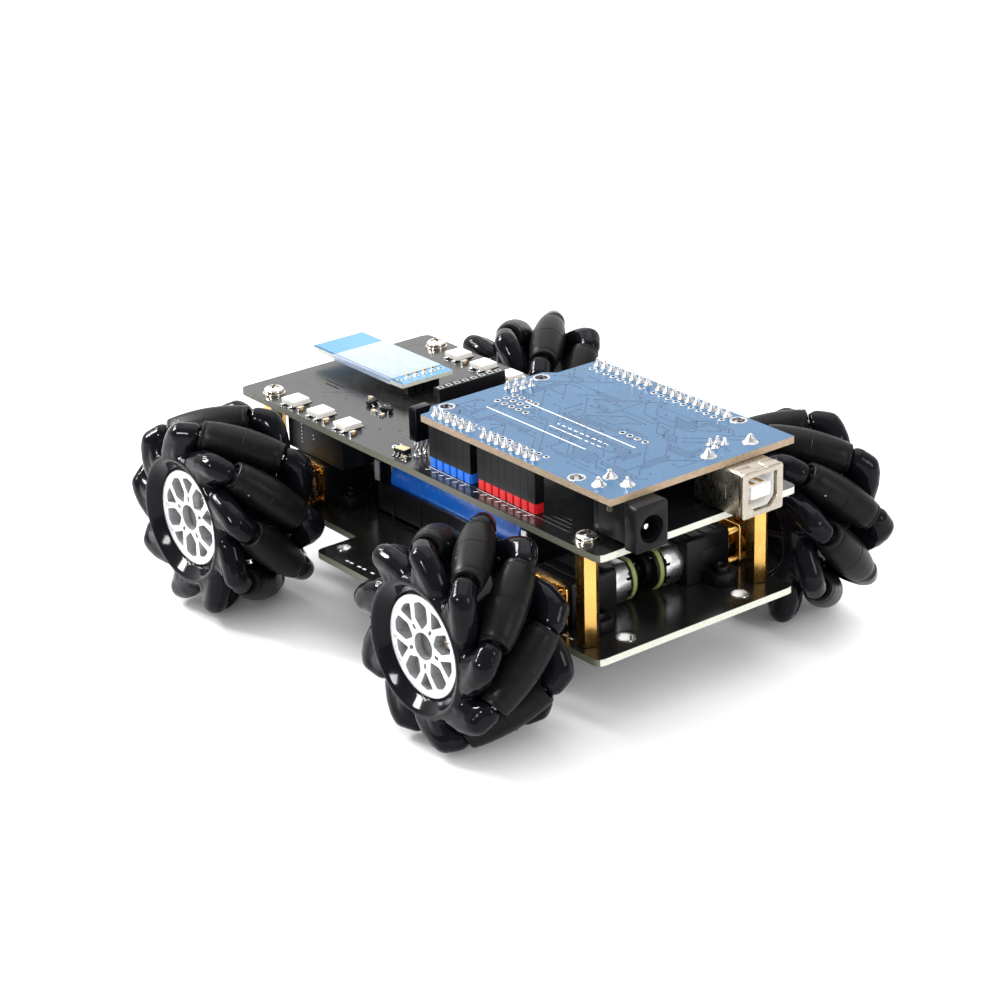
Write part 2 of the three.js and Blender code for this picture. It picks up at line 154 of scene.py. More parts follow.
def rubber():
    paint = Paint("roller_rubber", (0.003, 0.003, 0.0032), 0.36, specular=0.1)
    worn = paint.mix(paint.spread(paint.noise(0.4), 0.0, 0.8), (0.0075, 0.007, 0.0066))
    paint.mix(paint.specks(0.16, 0.035), (0.3, 0.29, 0.27), worn)
    paint.roughness(paint.noise(1.5), 0.3, 0.46)
    paint.bump(paint.noise(6), 0.012, 0.4)
    return paint.material


def steel(name="bright_steel", color=(0.72, 0.71, 0.69), rough=0.2, stretch=(1, 1, 1), grain=4):
    paint = Paint(name, color, rough, metallic=1.0)
    streaks = paint.noise(grain, 3, stretch)
    paint.mix(paint.spread(streaks, 0.0, 0.5), tuple(c * 0.62 for c in color))
    paint.roughness(streaks, rough * 0.7, rough * 1.5)
    paint.bump(streaks, 0.01, 0.4)
    return paint.material


def brass():
    paint = Paint("brass", (0.74, 0.43, 0.12), 0.24, metallic=1.0)
    tarnish = paint.spread(paint.noise(0.4, 5, (1, 1, 0.6)), 0.0, 0.4, (0.5, 0.75))
    paint.mix(tarnish, (0.55, 0.26, 0.05))
    paint.roughness(paint.noise(0.6, 2, (1, 1, 0.3)), 0.2, 0.3)
    paint.bump(paint.noise(0.5, 2, (1, 1, 0.3)), 0.002, 0.1)
    return paint.material


def hub_silver(name, color, rough, grain_mm):
    paint = Paint(name, color, rough, metallic=0.5, specular=0.7)
    paint.mix(paint.spread(paint.noise(1.2), 0.0, 0.35), tuple(c * 0.72 for c in color))
    paint.roughness(paint.noise(2), rough * 0.8, rough * 1.25)
    paint.bump(paint.noise(3, 3), grain_mm, 0.35)
    return paint.material


def solder_mask(name, color, other, rough, specular=0.5):
    """Lacquered board face: a little colour drift, and copper that shows through as faint relief."""
    paint = Paint(name, color, rough, specular=specular)
    paint.mix(paint.spread(paint.noise(0.06, 3), 0.0, 1.0), other)
    paint.roughness(paint.noise(0.4), rough * 0.85, rough * 1.15)
    paint.bump(paint.noise(0.2, 1), 0.002, 0.1)
    return paint.material


def board_edge(name, color, dark, specks=0.3):
    """Cut edge of fibreglass board, with the weave showing as fine dots."""
    paint = Paint(name, color, 0.62)
    base = paint.mix(paint.spread(paint.noise(1.0, 4, (1, 1, 3)), 0.0, 0.8), dark)
    paint.mix(paint.spread(paint.noise(5, 2), 0.0, specks, (0.5, 0.62)), tuple(c * 0.45 for c in dark), base)
    paint.bump(paint.noise(4), 0.05, 0.6)
    return paint.material


def matte(name, color, rough=0.5, drift=0.8, bump_mm=0.02, per_mm=2.0, coat=0.0, specular=0.5, metallic=0.0):
    """Moulded plastic or print: drift is how far its darkest patches fall."""
    paint = Paint(name, color, rough, metallic=metallic, coat=coat, specular=specular)
    paint.mix(paint.spread(paint.noise(per_mm * 0.3), 0.0, 0.7), tuple(c * drift for c in color))
    paint.roughness(paint.noise(per_mm), rough * 0.85, min(1.0, rough * 1.2))
    paint.bump(paint.noise(per_mm * 2), bump_mm, 0.4)
    return paint.material


def cell_wrap():
    paint = Paint("blue_cell_wrap", (0.008, 0.15, 0.78), 0.2, coat=0.3)
    paint.mix(paint.spread(paint.noise(0.15, 3), 0.0, 0.8), (0.015, 0.22, 0.88))
    paint.roughness(paint.noise(0.8), 0.14, 0.3)
    paint.bump(paint.noise(0.35, 3, (0.3, 1, 1)), 0.12, 0.5)
    return paint.material


GLOSS = black_gloss()
RUBBER = rubber()
STEEL = steel()
CAN = steel("motor_can", (0.68, 0.68, 0.69), 0.28, (0.2, 4, 0.2), 3)
SCREW = steel("nickel_screw", (0.74, 0.68, 0.6), 0.16)
DARK_STEEL = steel("black_screw", (0.05, 0.05, 0.055), 0.3)
BRASS = brass()
HUB_FACE = hub_silver("hub_face_silver", (0.66, 0.66, 0.67), 0.3, 0.003)
# darker copies of the hub's silver for pocket floors, opening walls and fork floors: painted shade in the
# recesses
HUB_POCKET_SHADE = hub_silver("hub_pocket_painted_shade", (0.2, 0.2, 0.208), 0.5, 0.05)
HUB_WALL_SHADE = hub_silver("hub_wall_painted_shade", (0.38, 0.38, 0.39), 0.4, 0.01)
HUB_FORK_SHADE = hub_silver("hub_fork_painted_shade", (0.06, 0.06, 0.063), 0.5, 0.05)
PLUG = matte("hub_plug", (0.055, 0.057, 0.055), 0.5, 0.6, 0.08)
BLACK_MASK = solder_mask("black_solder_mask", (0.006, 0.006, 0.0056), (0.01, 0.0097, 0.009), 0.2, 0.42)
BLACK_TRACE = solder_mask("black_mask_over_copper", (0.018, 0.017, 0.0155), (0.024, 0.0225, 0.021), 0.18)
BLUE_MASK = solder_mask("blue_solder_mask", (0.017, 0.081, 0.17), (0.024, 0.098, 0.2), 0.3, 0.3)
BLUE_TRACE = solder_mask("blue_mask_over_gap", (0.003, 0.02, 0.07), (0.005, 0.026, 0.085), 0.3, 0.3)
MODULE_MASK = solder_mask("light_blue_mask", (0.06, 0.22, 0.4), (0.08, 0.26, 0.45), 0.32, 0.3)
OLIVE_EDGE = board_edge("board_edge_olive", (0.125, 0.125, 0.085), (0.06, 0.06, 0.042))
# pale board edge; on the plates' ends facing along X it is painted light
PALE_EDGE = board_edge("board_edge_pale", (0.72, 0.72, 0.64), (0.5, 0.5, 0.42), 0.6)
TAN_EDGE = board_edge("board_edge_tan", (0.42, 0.31, 0.2), (0.2, 0.14, 0.09))
WHITE_PRINT = matte("white_print", (0.86, 0.87, 0.88), 0.5, 0.9, 0.01)
SOLDER = steel("solder", (0.55, 0.55, 0.56), 0.25, grain=1.5)
TINNED = matte("tinned_pad", (0.55, 0.55, 0.55), 0.35, 0.9, metallic=0.3, specular=0.3)
# near-black, unreflective fill for holes, slots and bores: painted shade
HOLE_SHADE = matte("painted_hole_shade", (0.003, 0.003, 0.004), 0.8, specular=0.05)
HEADER = matte("header_black", (0.006, 0.006, 0.0075), 0.4, 0.7, 0.015, 3, specular=0.13)
BLUE_BASE = matte("pin_base_blue", (0.012, 0.19, 0.85), 0.4, 0.85, specular=0.3)
RED_BASE = matte("pin_base_red", (0.8, 0.012, 0.018), 0.4, 0.8, specular=0.3)
JACK_BLACK = matte("jack_black", (0.004, 0.004, 0.0045), 0.42, 0.75, 0.015, 4, specular=0.13)
SHELL = steel("usb_shell", (0.43, 0.385, 0.32), 0.26, (1, 1, 0.3), 2)
WHITE_PLASTIC = matte("white_plastic", (0.84, 0.84, 0.83), 0.38, 0.93)
LED_BODY = matte("led_body", (0.7, 0.68, 0.63), 0.4, 0.95, specular=0.3)
LED_LENS = matte("led_lens", (0.93, 0.89, 0.72), 0.15, 0.95, coat=0.6)
CERAMIC = matte("ceramic_tan", (0.62, 0.45, 0.25), 0.45)
WRAP = matte("clear_wrap_over_module", (0.3, 0.37, 0.5), 0.25, 0.85, 0.04, 0.5, coat=0.2)
BRACKET = matte("bracket_black", (0.005, 0.005, 0.006), 0.34, 0.7, 0.015, specular=0.18)
HOLDER = matte("holder_black", (0.005, 0.005, 0.006), 0.36, 0.7, 0.015, specular=0.2)
RING_GREEN = matte("ring_olive", (0.26, 0.31, 0.09), 0.5, 0.8)
CELL = cell_wrap()
CONTACT = steel("contact_plate", (0.55, 0.56, 0.58), 0.5, grain=6)


# ---- shapes, in millimetres ----
def linked(name, data):
    """A new object of data, in the scene."""
    made = bpy.data.objects.new(name, data)
    bpy.context.scene.collection.objects.link(made)
    return made


def applied(*holders):
    """The first object's shape with its modifiers or curve settings applied, as a mesh; all holders go."""
    depsgraph = bpy.context.evaluated_depsgraph_get()
    mesh = bpy.data.meshes.new_from_object(holders[0].evaluated_get(depsgraph))
    for holder in holders:
        bpy.data.objects.remove(holder)
    return mesh


def from_mesh(mesh):
    bm = bmesh.new()
    bm.from_mesh(mesh)
    return bm


def difference(holder, cutter, solver):
    """Has holder less cutter once its modifiers are applied."""
    cut = holder.modifiers.new("cut", "BOOLEAN")
    cut.operation = "DIFFERENCE"
    cut.solver = solver
    cut.object = cutter


def peg(radius, low, high):
    """Lathe profile of a plain round bar."""
    return [(0, low), (radius, low), (radius, high), (0, high)]


def polar(radius, degrees):
    return (radius * math.cos(math.radians(degrees)), radius * math.sin(math.radians(degrees)))


def circle(radius, x=0.0, y=0.0, steps=40):
    turns = [2 * math.pi * i / steps for i in range(steps)]
    return [(x + radius * math.cos(turn), y + radius * math.sin(turn)) for turn in turns]


def rectangle(x0, y0, x1, y1):
    return [(x0, y0), (x1, y0), (x1, y1), (x0, y1)]


def rounded(corners, radius, steps=5):
    """Closed outline of corners, each eased by radius or, where it has three numbers, by its third."""
    points = []
    count = len(corners)
    for i, corner in enumerate(corners):
        here = Vector(corner[:2])
        reach = corner[2] if len(corner) > 2 else radius
        before = (Vector(corners[i - 1][:2]) - here).normalized() * reach + here
        after = (Vector(corners[(i + 1) % count][:2]) - here).normalized() * reach + here
        for k in range(steps + 1):
            t = k / steps
            points.append(tuple(before * (1 - t) ** 2 + here * 2 * t * (1 - t) + after * t * t))
    return points


def skin(bm, rings, segments):
    """Faces between one ring and the next; a ring of one point closes the end."""
    for a, b in zip(rings, rings[1:]):
        for i in range(segments):
            j = (i + 1) % segments
            corners = [a[i % len(a)], a[j % len(a)], b[j % len(b)], b[i % len(b)]]
            bm.faces.new(list(dict.fromkeys(corners)))
    bmesh.ops.recalc_face_normals(bm, faces=bm.faces)


def lathe_mesh(profile, segments=48):
    """Solid of revolution round +Z; its [r, z] points meet the axis at both ends or close on themselves."""
    bm = bmesh.new()
    rings = []
    for r, z in profile:
        loop = circle(r, steps=segments) if r > 1e-6 else [(0, 0)]
        rings.append([bm.verts.new((x, y, z)) for x, y in loop])
    closes = len(rings[0]) > 1 and len(rings[-1]) > 1
    skin(bm, rings + rings[:1] if closes else rings, segments)
    return bm


def box_mesh(low, high, bevel):
    bm = bmesh.new()
    bmesh.ops.create_cube(bm, size=1.0)
    size = Vector(high) - Vector(low)
    bmesh.ops.scale(bm, vec=size, verts=bm.verts)
    bmesh.ops.translate(bm, vec=Vector(low) + size / 2, verts=bm.verts)
    if bevel > 0:
        bmesh.ops.bevel(bm, geom=list(bm.edges), offset=min(bevel, min(size) * 0.45), segments=2,
                        affect="EDGES", profile=0.7)
    return bm


def slab_mesh(outline, holes, z0, z1, bevel=0.0):
    """A flat plate from a closed outline, less its holes, with its edges eased by bevel."""
    curve = bpy.data.curves.new("outline", "CURVE")
    curve.dimensions = "2D"
    curve.fill_mode = "BOTH"
    curve.extrude = (z1 - z0) / 2 - bevel
    curve.bevel_depth = bevel
    curve.bevel_resolution = 1
    curve.offset = -bevel
    for loop in [outline, *holes]:
        spline = curve.splines.new("POLY")
        spline.points.add(len(loop) - 1)
        spline.use_cyclic_u = True
        for point, (x, y) in zip(spline.points, loop):
            point.co = (x, y, 0, 1)
    mesh = applied(linked("outline", curve))
    bm = from_mesh(mesh)
    bpy.data.meshes.remove(mesh)
    bmesh.ops.remove_doubles(bm, verts=bm.verts, dist=1e-4)
    bmesh.ops.recalc_face_normals(bm, faces=bm.faces)
    bmesh.ops.translate(bm, vec=(0, 0, (z0 + z1) / 2), verts=bm.verts)
    return bm


def tube_mesh(path, radii, segments=14, rounds=4):
    """A closed tube along points, with a radius at each and round ends."""
    path = [Vector(p) for p in path]
    first = (path[1] - path[0]).normalized()
    last = (path[-1] - path[-2]).normalized()
    stations = []
    for i, (point, radius) in enumerate(zip(path, radii)):
        along = path[min(i + 1, len(path) - 1)] - path[max(i - 1, 0)]
        stations.append((point, radius, along.normalized()))
    for k in range(1, rounds + 1):
        angle = math.pi / 2 * k / rounds
        stations.insert(0, (path[0] - first * radii[0] * math.sin(angle), radii[0] * math.cos(angle), first))
        stations.append((path[-1] + last * radii[-1] * math.sin(angle), radii[-1] * math.cos(angle), last))
    bm = bmesh.new()
    side = first.orthogonal().normalized()
    rings = []
    for point, radius, along in stations:
        side = (side - along * side.dot(along)).normalized()
        other = along.cross(side)
        if radius < 1e-4:
            rings.append([bm.verts.new(point)])
            continue
        rings.append([bm.verts.new(point + (side * x + other * y) * radius)
                      for x, y in circle(1.0, steps=segments)])
    skin(bm, rings, segments)
    return bm


class Piece:
    """One visible object: shapes in millimetres, each in a material, joined in one mesh."""

    def __init__(self, name, body, slot):
        self.name = name
        self.body = body
        self.slot = slot
        self.mesh = bpy.data.meshes.new(name)
        self.bm = bmesh.new()

    def add(self, bm, material, matrix=None, by_face=None):
        """Takes in a bmesh. by_face may choose another material from a face's centre and normal."""
        if matrix is not None:
            bm.transform(matrix)
            if matrix.determinant() < 0:
                bmesh.ops.reverse_faces(bm, faces=bm.faces)
            bm.normal_update()
        for face in bm.faces:
            chosen = by_face(face.calc_center_median(), face.normal) if by_face else None
            face.material_index = self.index(chosen or material)
            face.smooth = True
        scratch = bpy.data.meshes.new("scratch")
        bm.to_mesh(scratch)
        bm.free()
        self.bm.from_mesh(scratch)
        bpy.data.meshes.remove(scratch)

    def index(self, material):
        if material.name not in self.mesh.materials:
            self.mesh.materials.append(material)
        return self.mesh.materials.find(material.name)

    def box(self, low, high, material, bevel=0.1, matrix=None):
        self.add(box_mesh(low, high, bevel), material, matrix)

    def post(self, x, y, half_x, half_y, z0, z1, material, bevel=0.1, matrix=None):
        """A box given by the middle of its plan."""
        self.box((x - half_x, y - half_y, z0), (x + half_x, y + half_y, z1), material, bevel, matrix)

    def lathe(self, profile, material, matrix=None, segments=32):
        self.add(lathe_mesh(profile, segments), material, matrix)

    def slab(self, outline, holes, z0, z1, material, bevel=0.0, matrix=None, by_face=None):
        self.add(slab_mesh(outline, holes, z0, z1, bevel), material, matrix, by_face)

    def tube(self, path, radius, material, matrix=None, segments=10, rounds=3):
        self.add(tube_mesh(path, [radius] * len(path), segments, rounds), material, matrix)

    def mesh_in_metres(self):
        self.bm.transform(Matrix.Scale(MM, 4))
        self.bm.to_mesh(self.mesh)
        self.bm.free()
        return self.mesh

    def finish(self, replaces=()):
        place(self.name, self.mesh_in_metres(), self.body, self.slot, Matrix.Identity(4), replaces)


def place(name, mesh, body, slot, matrix, replaces=(), sharp=32):
    """Makes an object of a mesh in metres and has it ride on its body."""
    mesh.shade_smooth()
    mesh.set_sharp_from_angle(angle=math.radians(sharp))
    made = linked(name, mesh)
    made.matrix_world = matrix
    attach(made, body)
    if replaces:
        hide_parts(*replaces)


def at(x, y, z, turn=0.0, axis="Z"):
    return Matrix.Translation((x, y, z)) @ Matrix.Rotation(math.radians(turn), 4, axis)


def pointing(direction):
    """Turns +Z to a direction."""
    return Vector((0, 0, 1)).rotation_difference(direction).to_matrix().to_4x4()


ALONG_X = Matrix.Rotation(math.radians(90), 4, "Y")            # +Z drawn becomes +X
UP_IS_OUTLINE_Y = Matrix.Rotation(math.radians(90), 4, "X")    # outline's y becomes z, +Z drawn becomes -Y
OUTLINE_IN_YZ = Matrix(((0, 0, 1, 0), (1, 0, 0, 0), (0, 1, 0, 0), (0, 0, 0, 1)))    # +Z drawn becomes +X


def phillips_head(radius, height):
    """Pan head sitting on z = 0, on a thin washer, with a real cross recess."""
    crown = [(0, 0), (radius * 1.1, 0), (radius * 1.1, 0.3), (radius, 0.32), (radius, height * 0.45)]
    for k in range(1, 7):
        angle = math.radians(15 * k)
        crown.append((radius * math.cos(angle), height * (0.45 + 0.55 * math.sin(angle))))
    head, cutter = bpy.data.meshes.new("head"), bpy.data.meshes.new("cross")
    lathe_mesh(crown, 28).to_mesh(head)
    arm, half = radius * 0.55, radius * 0.12
    outline = [(arm, -half), (arm, half), (half, half), (half, arm), (-half, arm), (-half, half),
               (-arm, half), (-arm, -half), (-half, -half), (-half, -arm), (half, -arm), (half, -half)]
    slab_mesh(outline, [], height * 0.4, height * 1.3).to_mesh(cutter)
    holders = linked("head", head), linked("cross", cutter)
    difference(*holders, "EXACT")
    made = applied(*holders)
    made.materials.clear()
    return made


SCREW_HEAD = phillips_head(2.5, 1.9)
SMALL_HEAD = phillips_head(1.5, 1.0)


# ---- wheels ----
ROLLERS = 9
ROLLER_HALF_L = 10.0
PIN_END = 12.4
PIN_R = 0.8
wheel_joint = joint("wheel_front_right_spin")
roller_joint = joint("roller_front_right_1_spin")
WHEEL_R = wheel_joint["pos_m"][2] / MM
RING_R = (Vector(roller_joint["pos_m"]) - Vector(wheel_joint["pos_m"])).length / MM
FRAME_HALF_W = (box_mm("wheel_frame_front_right")[1].y - box_mm("wheel_frame_front_right")[0].y) / 2
RIM_CREST = FRAME_HALF_W - 0.05
SLANT = math.sqrt(0.5)


def roller_radius(s):
    """Largest radius that keeps the roller inside the wheel's rolling cylinder, at s along its pin."""
    tangential = s * SLANT
    reach = []
    for step in range(-20, 21):
        turn = step * 0.04
        across, up = math.sin(turn) * SLANT, math.cos(turn)
        a = across * across + up * up
        b = tangential * across + RING_R * up
        c = tangential * tangential + RING_R * RING_R - WHEEL_R * WHEEL_R
        reach.append((math.sqrt(b * b - a * c) - b) / a)
    return min(reach)


def roller_mesh():
    """Barrel roller round +Z: rounded ends with a hollow face, a moulding seam, and its steel pin."""
    end = roller_radius(ROLLER_HALF_L)
    half = [(1.5, -9.1), (1.7, -9.2), (end - 0.95, -9.3), (end - 0.75, -9.95), (end - 0.25, -10.0)]
    half += [(end, -9.85), (roller_radius(9.7), -9.6), (roller_radius(9.25), -9.15)]
    half += [(roller_radius(9.1) - 0.07, -9.02), (roller_radius(9.0) - 0.07, -8.92)]
    half += [(roller_radius(8.85), -8.8)]
    half += [(roller_radius(s), -s) for s in (7.5, 6.2, 4.8, 3.4, 2.0, 0.8, 0.16)]
    half += [(roller_radius(0.0) - 0.08, -0.08)]
    profile = [(0, -9.1)] + half + [(r, -z) for r, z in reversed(half)] + [(0, 9.1)]
    piece = Piece("roller_shape", "chassis", "roller_rubber")
    piece.lathe(profile, RUBBER, segments=44)
    pin = [(0, -PIN_END), (0.6, -PIN_END), (PIN_R, -PIN_END + 0.2), (PIN_R, PIN_END - 0.2), (0.6, PIN_END),
           (0, PIN_END)]
    piece.lathe(pin, STEEL, segments=14)
    return piece.mesh_in_metres()


LUG_SPINE = [  # rim to tip: radius of the place, its turn, its distance from the middle plane, and how
    # far apart the strands that widen it lie, in turn and along the axle
    (14.0, 17.0, 9.6, 10.0, 0.0),
    (16.4, 12.0, 10.2, 8.0, 0.0),
    (18.6, 7.0, 10.2, 4.8, 0.3),
    (20.2, 2.6, 9.9, 3.3, 0.6),
    (20.9, -0.4, 9.6, 2.9, 0.8),
]
LUG_STRAND = 3.0
LUG_TURN = 26.0                        # degrees from a roller's middle to the end of its pin


def lugs(index, end):
    """Three strands of one broad lug of roller index, at the outer (+1) or inner (-1) rim."""
    for strand in (-1, 0, 1):
        path = []
        for radius, turn, width, apart, rise in LUG_SPINE:
            x, y = polar(radius, index * 360 / ROLLERS + end * (LUG_TURN + turn + strand * apart))
            path.append((x, y, end * (width + strand * rise)))
        yield tube_mesh(path, [LUG_STRAND] * len(path), 16, 5)


def roller_space(index):
    """The turning space of one roller, as a cutter in the wheel's own frame."""
    bore, reach, shoulder = 1.05, PIN_END + 0.2, 10.25
    profile = [(0, -reach), (bore, -reach), (bore, -shoulder)]
    profile += [(roller_radius(s) + 0.3, s * 1.025) for s in (-10, -7, -4, 0, 4, 7, 10)]
    profile += [(bore, shoulder), (bore, reach), (0, reach)]
    bm = lathe_mesh(profile, 28)
    on_ring = Matrix.Translation((RING_R, 0, 0)) @ pointing(Vector((0, SLANT, SLANT)))
    bm.transform(Matrix.Rotation(math.radians(index * 360 / ROLLERS), 4, "Z") @ on_ring)
    return bm


def wheel_frame_mesh():
    """Both rims, the drum and 18 lugs as one smooth moulding round +Z, outer face at +Z."""
    w = RIM_CREST
    profile = [
        (1.9, -w), (4.4, -w), (4.9, -w + 0.5), (5.1, -11.7), (11.9, -11.7), (12.2, -w + 0.5), (12.8, -w),
        (15.2, -w), (16.1, -w + 0.5), (16.4, -w + 1.2), (16.4, -9.6), (14.2, -7.4), (14.2, 7.4), (16.4, 9.4),
        (16.5, 11.4), (16.2, w - 0.8), (15.7, w - 0.25), (15.1, w), (14.5, w - 0.25), (12.4, 11.1),
        (11.95, 10.5), (11.95, -9.6), (1.9, -9.6),
    ]
    piece = Piece("wheel_shape", "chassis", "black_plastic")
    piece.lathe(profile, GLOSS, segments=120)
    for i in range(ROLLERS):
        for end in (-1, 1):
            for strand in lugs(i, end):
                piece.add(strand, GLOSS)
        piece.box((4.6, -0.6, -w + 0.2), (12.6, 0.6, -11.0), GLOSS, 0.1, at(0, 0, 0, i * 360 / ROLLERS + 20))
    holder = linked("wheel_shape", piece.mesh_in_metres())
    remesh = holder.modifiers.new("one_body", "REMESH")
    remesh.mode = "VOXEL"
    remesh.voxel_size = 0.26 * MM
    smooth = holder.modifiers.new("fillets", "SMOOTH")
    smooth.factor = 0.6
    smooth.iterations = 14
    thin = holder.modifiers.new("fewer", "DECIMATE")
    thin.ratio = 0.4
    spaces = Piece("roller_spaces", "chassis", "black_plastic")
    for i in range(ROLLERS):
        spaces.add(roller_space(i), GLOSS)
    hollow = [(0, 10.0), (11.8, 10.0), (12.35, 11.0), (14.0, w - 0.85), (14.8, w + 1.0), (0, w + 1.0)]
    spaces.lathe(hollow, GLOSS, segments=90)        # clears the lugs' roots out of the rim's dish
    cutter = linked("roller_spaces", spaces.mesh_in_metres())
    difference(holder, cutter, "MANIFOLD")
    made = applied(holder, cutter)
    if not made.materials:
        made.materials.append(GLOSS)
    return made


HUB_R = 11.65
HUB_FACE_Z = 10.7
HUB_POCKET_Z = 6.9
HUB_SPOKES = 5
HUB_BORE_R = 3.1
HUB_OPENINGS = (                       # [radius, turn from the spoke]; the last is the fork's floor
    [(5.9, 0), (9.7, -13), (10.1, 0), (9.7, 13)],
    [(3.8, 36), (6.3, 16), (9.7, 23.5), (10.2, 36), (9.7, 48.5), (6.3, 56)],
    [(4.1, -5), (5.3, -4), (5.3, 4), (4.1, 5)],
    [(5.0, 0), (10.4, -15), (10.8, 0), (10.4, 15)],
)
HUB_SCREW = (6.9, -36, 1.75)           # its distance from the axle, its turn from the first fork, boss radius
SHAFT_R = 1.5


# side walls of the hub's openings take a darker silver: painted shade
def shaded_wall_of_hub(centre, normal):
    return HUB_WALL_SHADE if abs(normal.y) < 0.5 else None


def wheel_hub(name, body, matrix, fork, node):
    """Silver disc of five forked spokes over grainy pockets, with a plug, a screw and the shaft; the pockets,
    their walls and the forks' floors are darker silver as painted shade.
    """
    hub = Piece(name, body, "silver_hub")
    face, deep = HUB_FACE_Z, HUB_POCKET_Z
    holes = []
    for i in range(HUB_SPOKES):
        spoke = fork + i * 360 / HUB_SPOKES
        inner, wide, slot, under = ([polar(r, spoke + turn) for r, turn in loop] for loop in HUB_OPENINGS)
        # fork floor in near-black silver: painted shade under the fork
        hub.slab(under, [], deep - 0.5, deep + 1.5, HUB_FORK_SHADE, 0.0, matrix)
        holes += [rounded(inner, 0.45, 4), rounded(wide, 0.55, 4), rounded(slot, 0.12, 2)]
    holes.append(circle(HUB_BORE_R, steps=36))
    hub.slab(circle(HUB_R, steps=72), holes, deep - 0.6, face, HUB_FACE, 0.14, matrix, shaded_wall_of_hub)
    floor = [(0, 5.2), (HUB_R - 0.3, 5.2), (HUB_R - 0.3, deep + 1.6), (10.0, deep + 1.1), (4.0, deep - 0.4),
             (0, deep - 0.4)]
    # pocket floor in darker silver: painted shade; its grain is the hub's own
    hub.lathe(floor, HUB_POCKET_SHADE, matrix, 60)
    lip = [(10.75, face - 0.3), (11.6, face - 0.3), (11.62, face + 0.1), (11.45, face + 0.2),
           (10.9, face + 0.2), (10.75, face + 0.1)]
    hub.lathe(lip, HUB_FACE, matrix, 72)
    plug = [(0, 7.5), (3.05, 7.5), (3.05, 8.7), (2.7, 9.1), (1.2, 9.3), (0, 9.35)]
    hub.lathe(plug, PLUG, matrix, 36)
    reach, turn, boss_r = HUB_SCREW
    x, y = polar(reach, fork + turn)
    # screw boss in the pocket's painted-shade silver
    hub.lathe(peg(boss_r, 5.5, deep + 1.3), HUB_POCKET_SHADE, matrix @ at(x, y, 0), 28)
    hub.add(from_mesh(SMALL_HEAD), SCREW, matrix @ at(x, y, deep + 1.3, 20))
    low, high = box_mm(node)
    tip = face - max(abs(low.y), abs(high.y)) + min(abs(low.y), abs(high.y))
    shaft = [(0, tip), (SHAFT_R - 0.2, tip), (SHAFT_R, tip + 0.2), (SHAFT_R, -9), (0, -9)]
    hub.lathe(shaft, STEEL, matrix, 24)
    # inner boss in the same painted-shade silver
    hub.lathe(peg(4.4, -9.3, 7.2), HUB_POCKET_SHADE, matrix, 32)
    hub.finish([node])


FORK_AT = {"front_right": 58.0, "rear_right": 88.6}    # degrees of one fork; the left hubs get a plain 90
RIM_DISH = [(11.9, 9.6), (15.2, RIM_CREST - 0.6), (15.35, RIM_CREST - 0.02), (15.0, RIM_CREST + 0.03),
            (14.6, RIM_CREST - 0.14), (14.1, RIM_CREST - 0.55), (12.5, 11.2), (12.0, 10.6), (11.9, 10.3)]


def wheels():
    """Mouldings, hubs and rollers, each turned in its mesh so that its object stays square to the axes."""
    roller = roller_mesh()
    mouldings = {1: wheel_frame_mesh()}
    mouldings[-1] = mouldings[1].copy()
    mouldings[-1].transform(Matrix.Diagonal((1, -1, 1, 1)))
    mouldings[-1].flip_normals()
    for end in ENDS:
        for side, outward in SIDES.items():
            where = f"{end}_{side}"
            body = f"wheel_{where}"
            centre = Vector(joint(f"{body}_spin")["pos_m"])
            upright = Matrix.Rotation(math.radians(-90 * outward), 4, "X")
            rollers = [joint(f"roller_{where}_{i + 1}_spin") for i in range(ROLLERS)]
            first = upright.inverted() @ (Vector(rollers[0]["pos_m"]) - centre)
            pin = upright.inverted() @ Vector(rollers[0]["axis"])
            tangent = Vector((-first.y, first.x, 0))
            hand = 1 if pin.dot(tangent) * pin.z > 0 else -1
            moulding = mouldings[hand].copy()
            moulding.transform(Matrix.Rotation(math.atan2(first.y, first.x), 4, "Z"))
            place(f"moulding_{where}", moulding, body, "black_plastic", Matrix.Translation(centre) @ upright,
                  [f"wheel_frame_{where}"], 60)
            in_millimetres = Matrix.Translation(centre / MM) @ upright
            dish = Piece(f"rim_dish_{where}", body, "black_plastic")
            dish.lathe(RIM_DISH, GLOSS, in_millimetres, 120)
            dish.finish()
            fork = FORK_AT.get(where, 90.0)
            wheel_hub(f"hub_disc_{where}", body, in_millimetres, fork, f"wheel_hub_{where}")
            for i, spin in enumerate(rollers):
                own = roller.copy()
                own.transform(pointing(Vector(spin["axis"])))
                place(f"rubber_{where}_{i + 1}", own, f"roller_{where}_{i + 1}_body", "roller_rubber",
                      Matrix.Translation(spin["pos_m"]), [f"roller_{where}_{i + 1}"], 40)


# ---- chassis plates and standoffs ----
lower_low, lower_high = box_mm("lower_plate")
upper_low, upper_high = box_mm("upper_board")
upper_low.z = upper_high.z - (lower_high.z - lower_low.z)    # the board's underside, not its block's
DECK = upper_high.z
CORNER = 2.2
SCREW_HOLE_R = 1.75
SCREW_R = 1.35
STANDOFF_FLATS = 4.5
LOBE_X = (-22.5, 17.1)


def sides_in(material):
    """Choice of face material for a board with one material on all its sides."""
    return lambda centre, normal: None if abs(normal.z) > 0.5 else material


def deck_edge(centre, normal):
    """Ends of a plate facing along X are painted pale as painted light from the side; its other sides are
    olive.
    """
    if abs(normal.z) > 0.5:
        return None
    # pale ends facing along X: painted light
    return PALE_EDGE if abs(normal.x) > 0.8 else OLIVE_EDGE


HEADINGS = [(1, 0), (1, 1), (0, 1), (-1, 1), (-1, 0), (-1, -1), (0, -1), (1, -1)]


def ring_pad(piece, x, y, z, hole_r, pad_r, material, up=1):
    """Flat ring round a hole, on a face at z that looks up (1) or down (-1)."""
    low, high = (z - 0.02, z + 0.06) if up > 0 else (z - 0.06, z + 0.02)
    profile = [(hole_r, low), (pad_r, low), (pad_r - 0.05, high), (hole_r, high)]
    piece.lathe(profile, material, at(x, y, 0), 30)


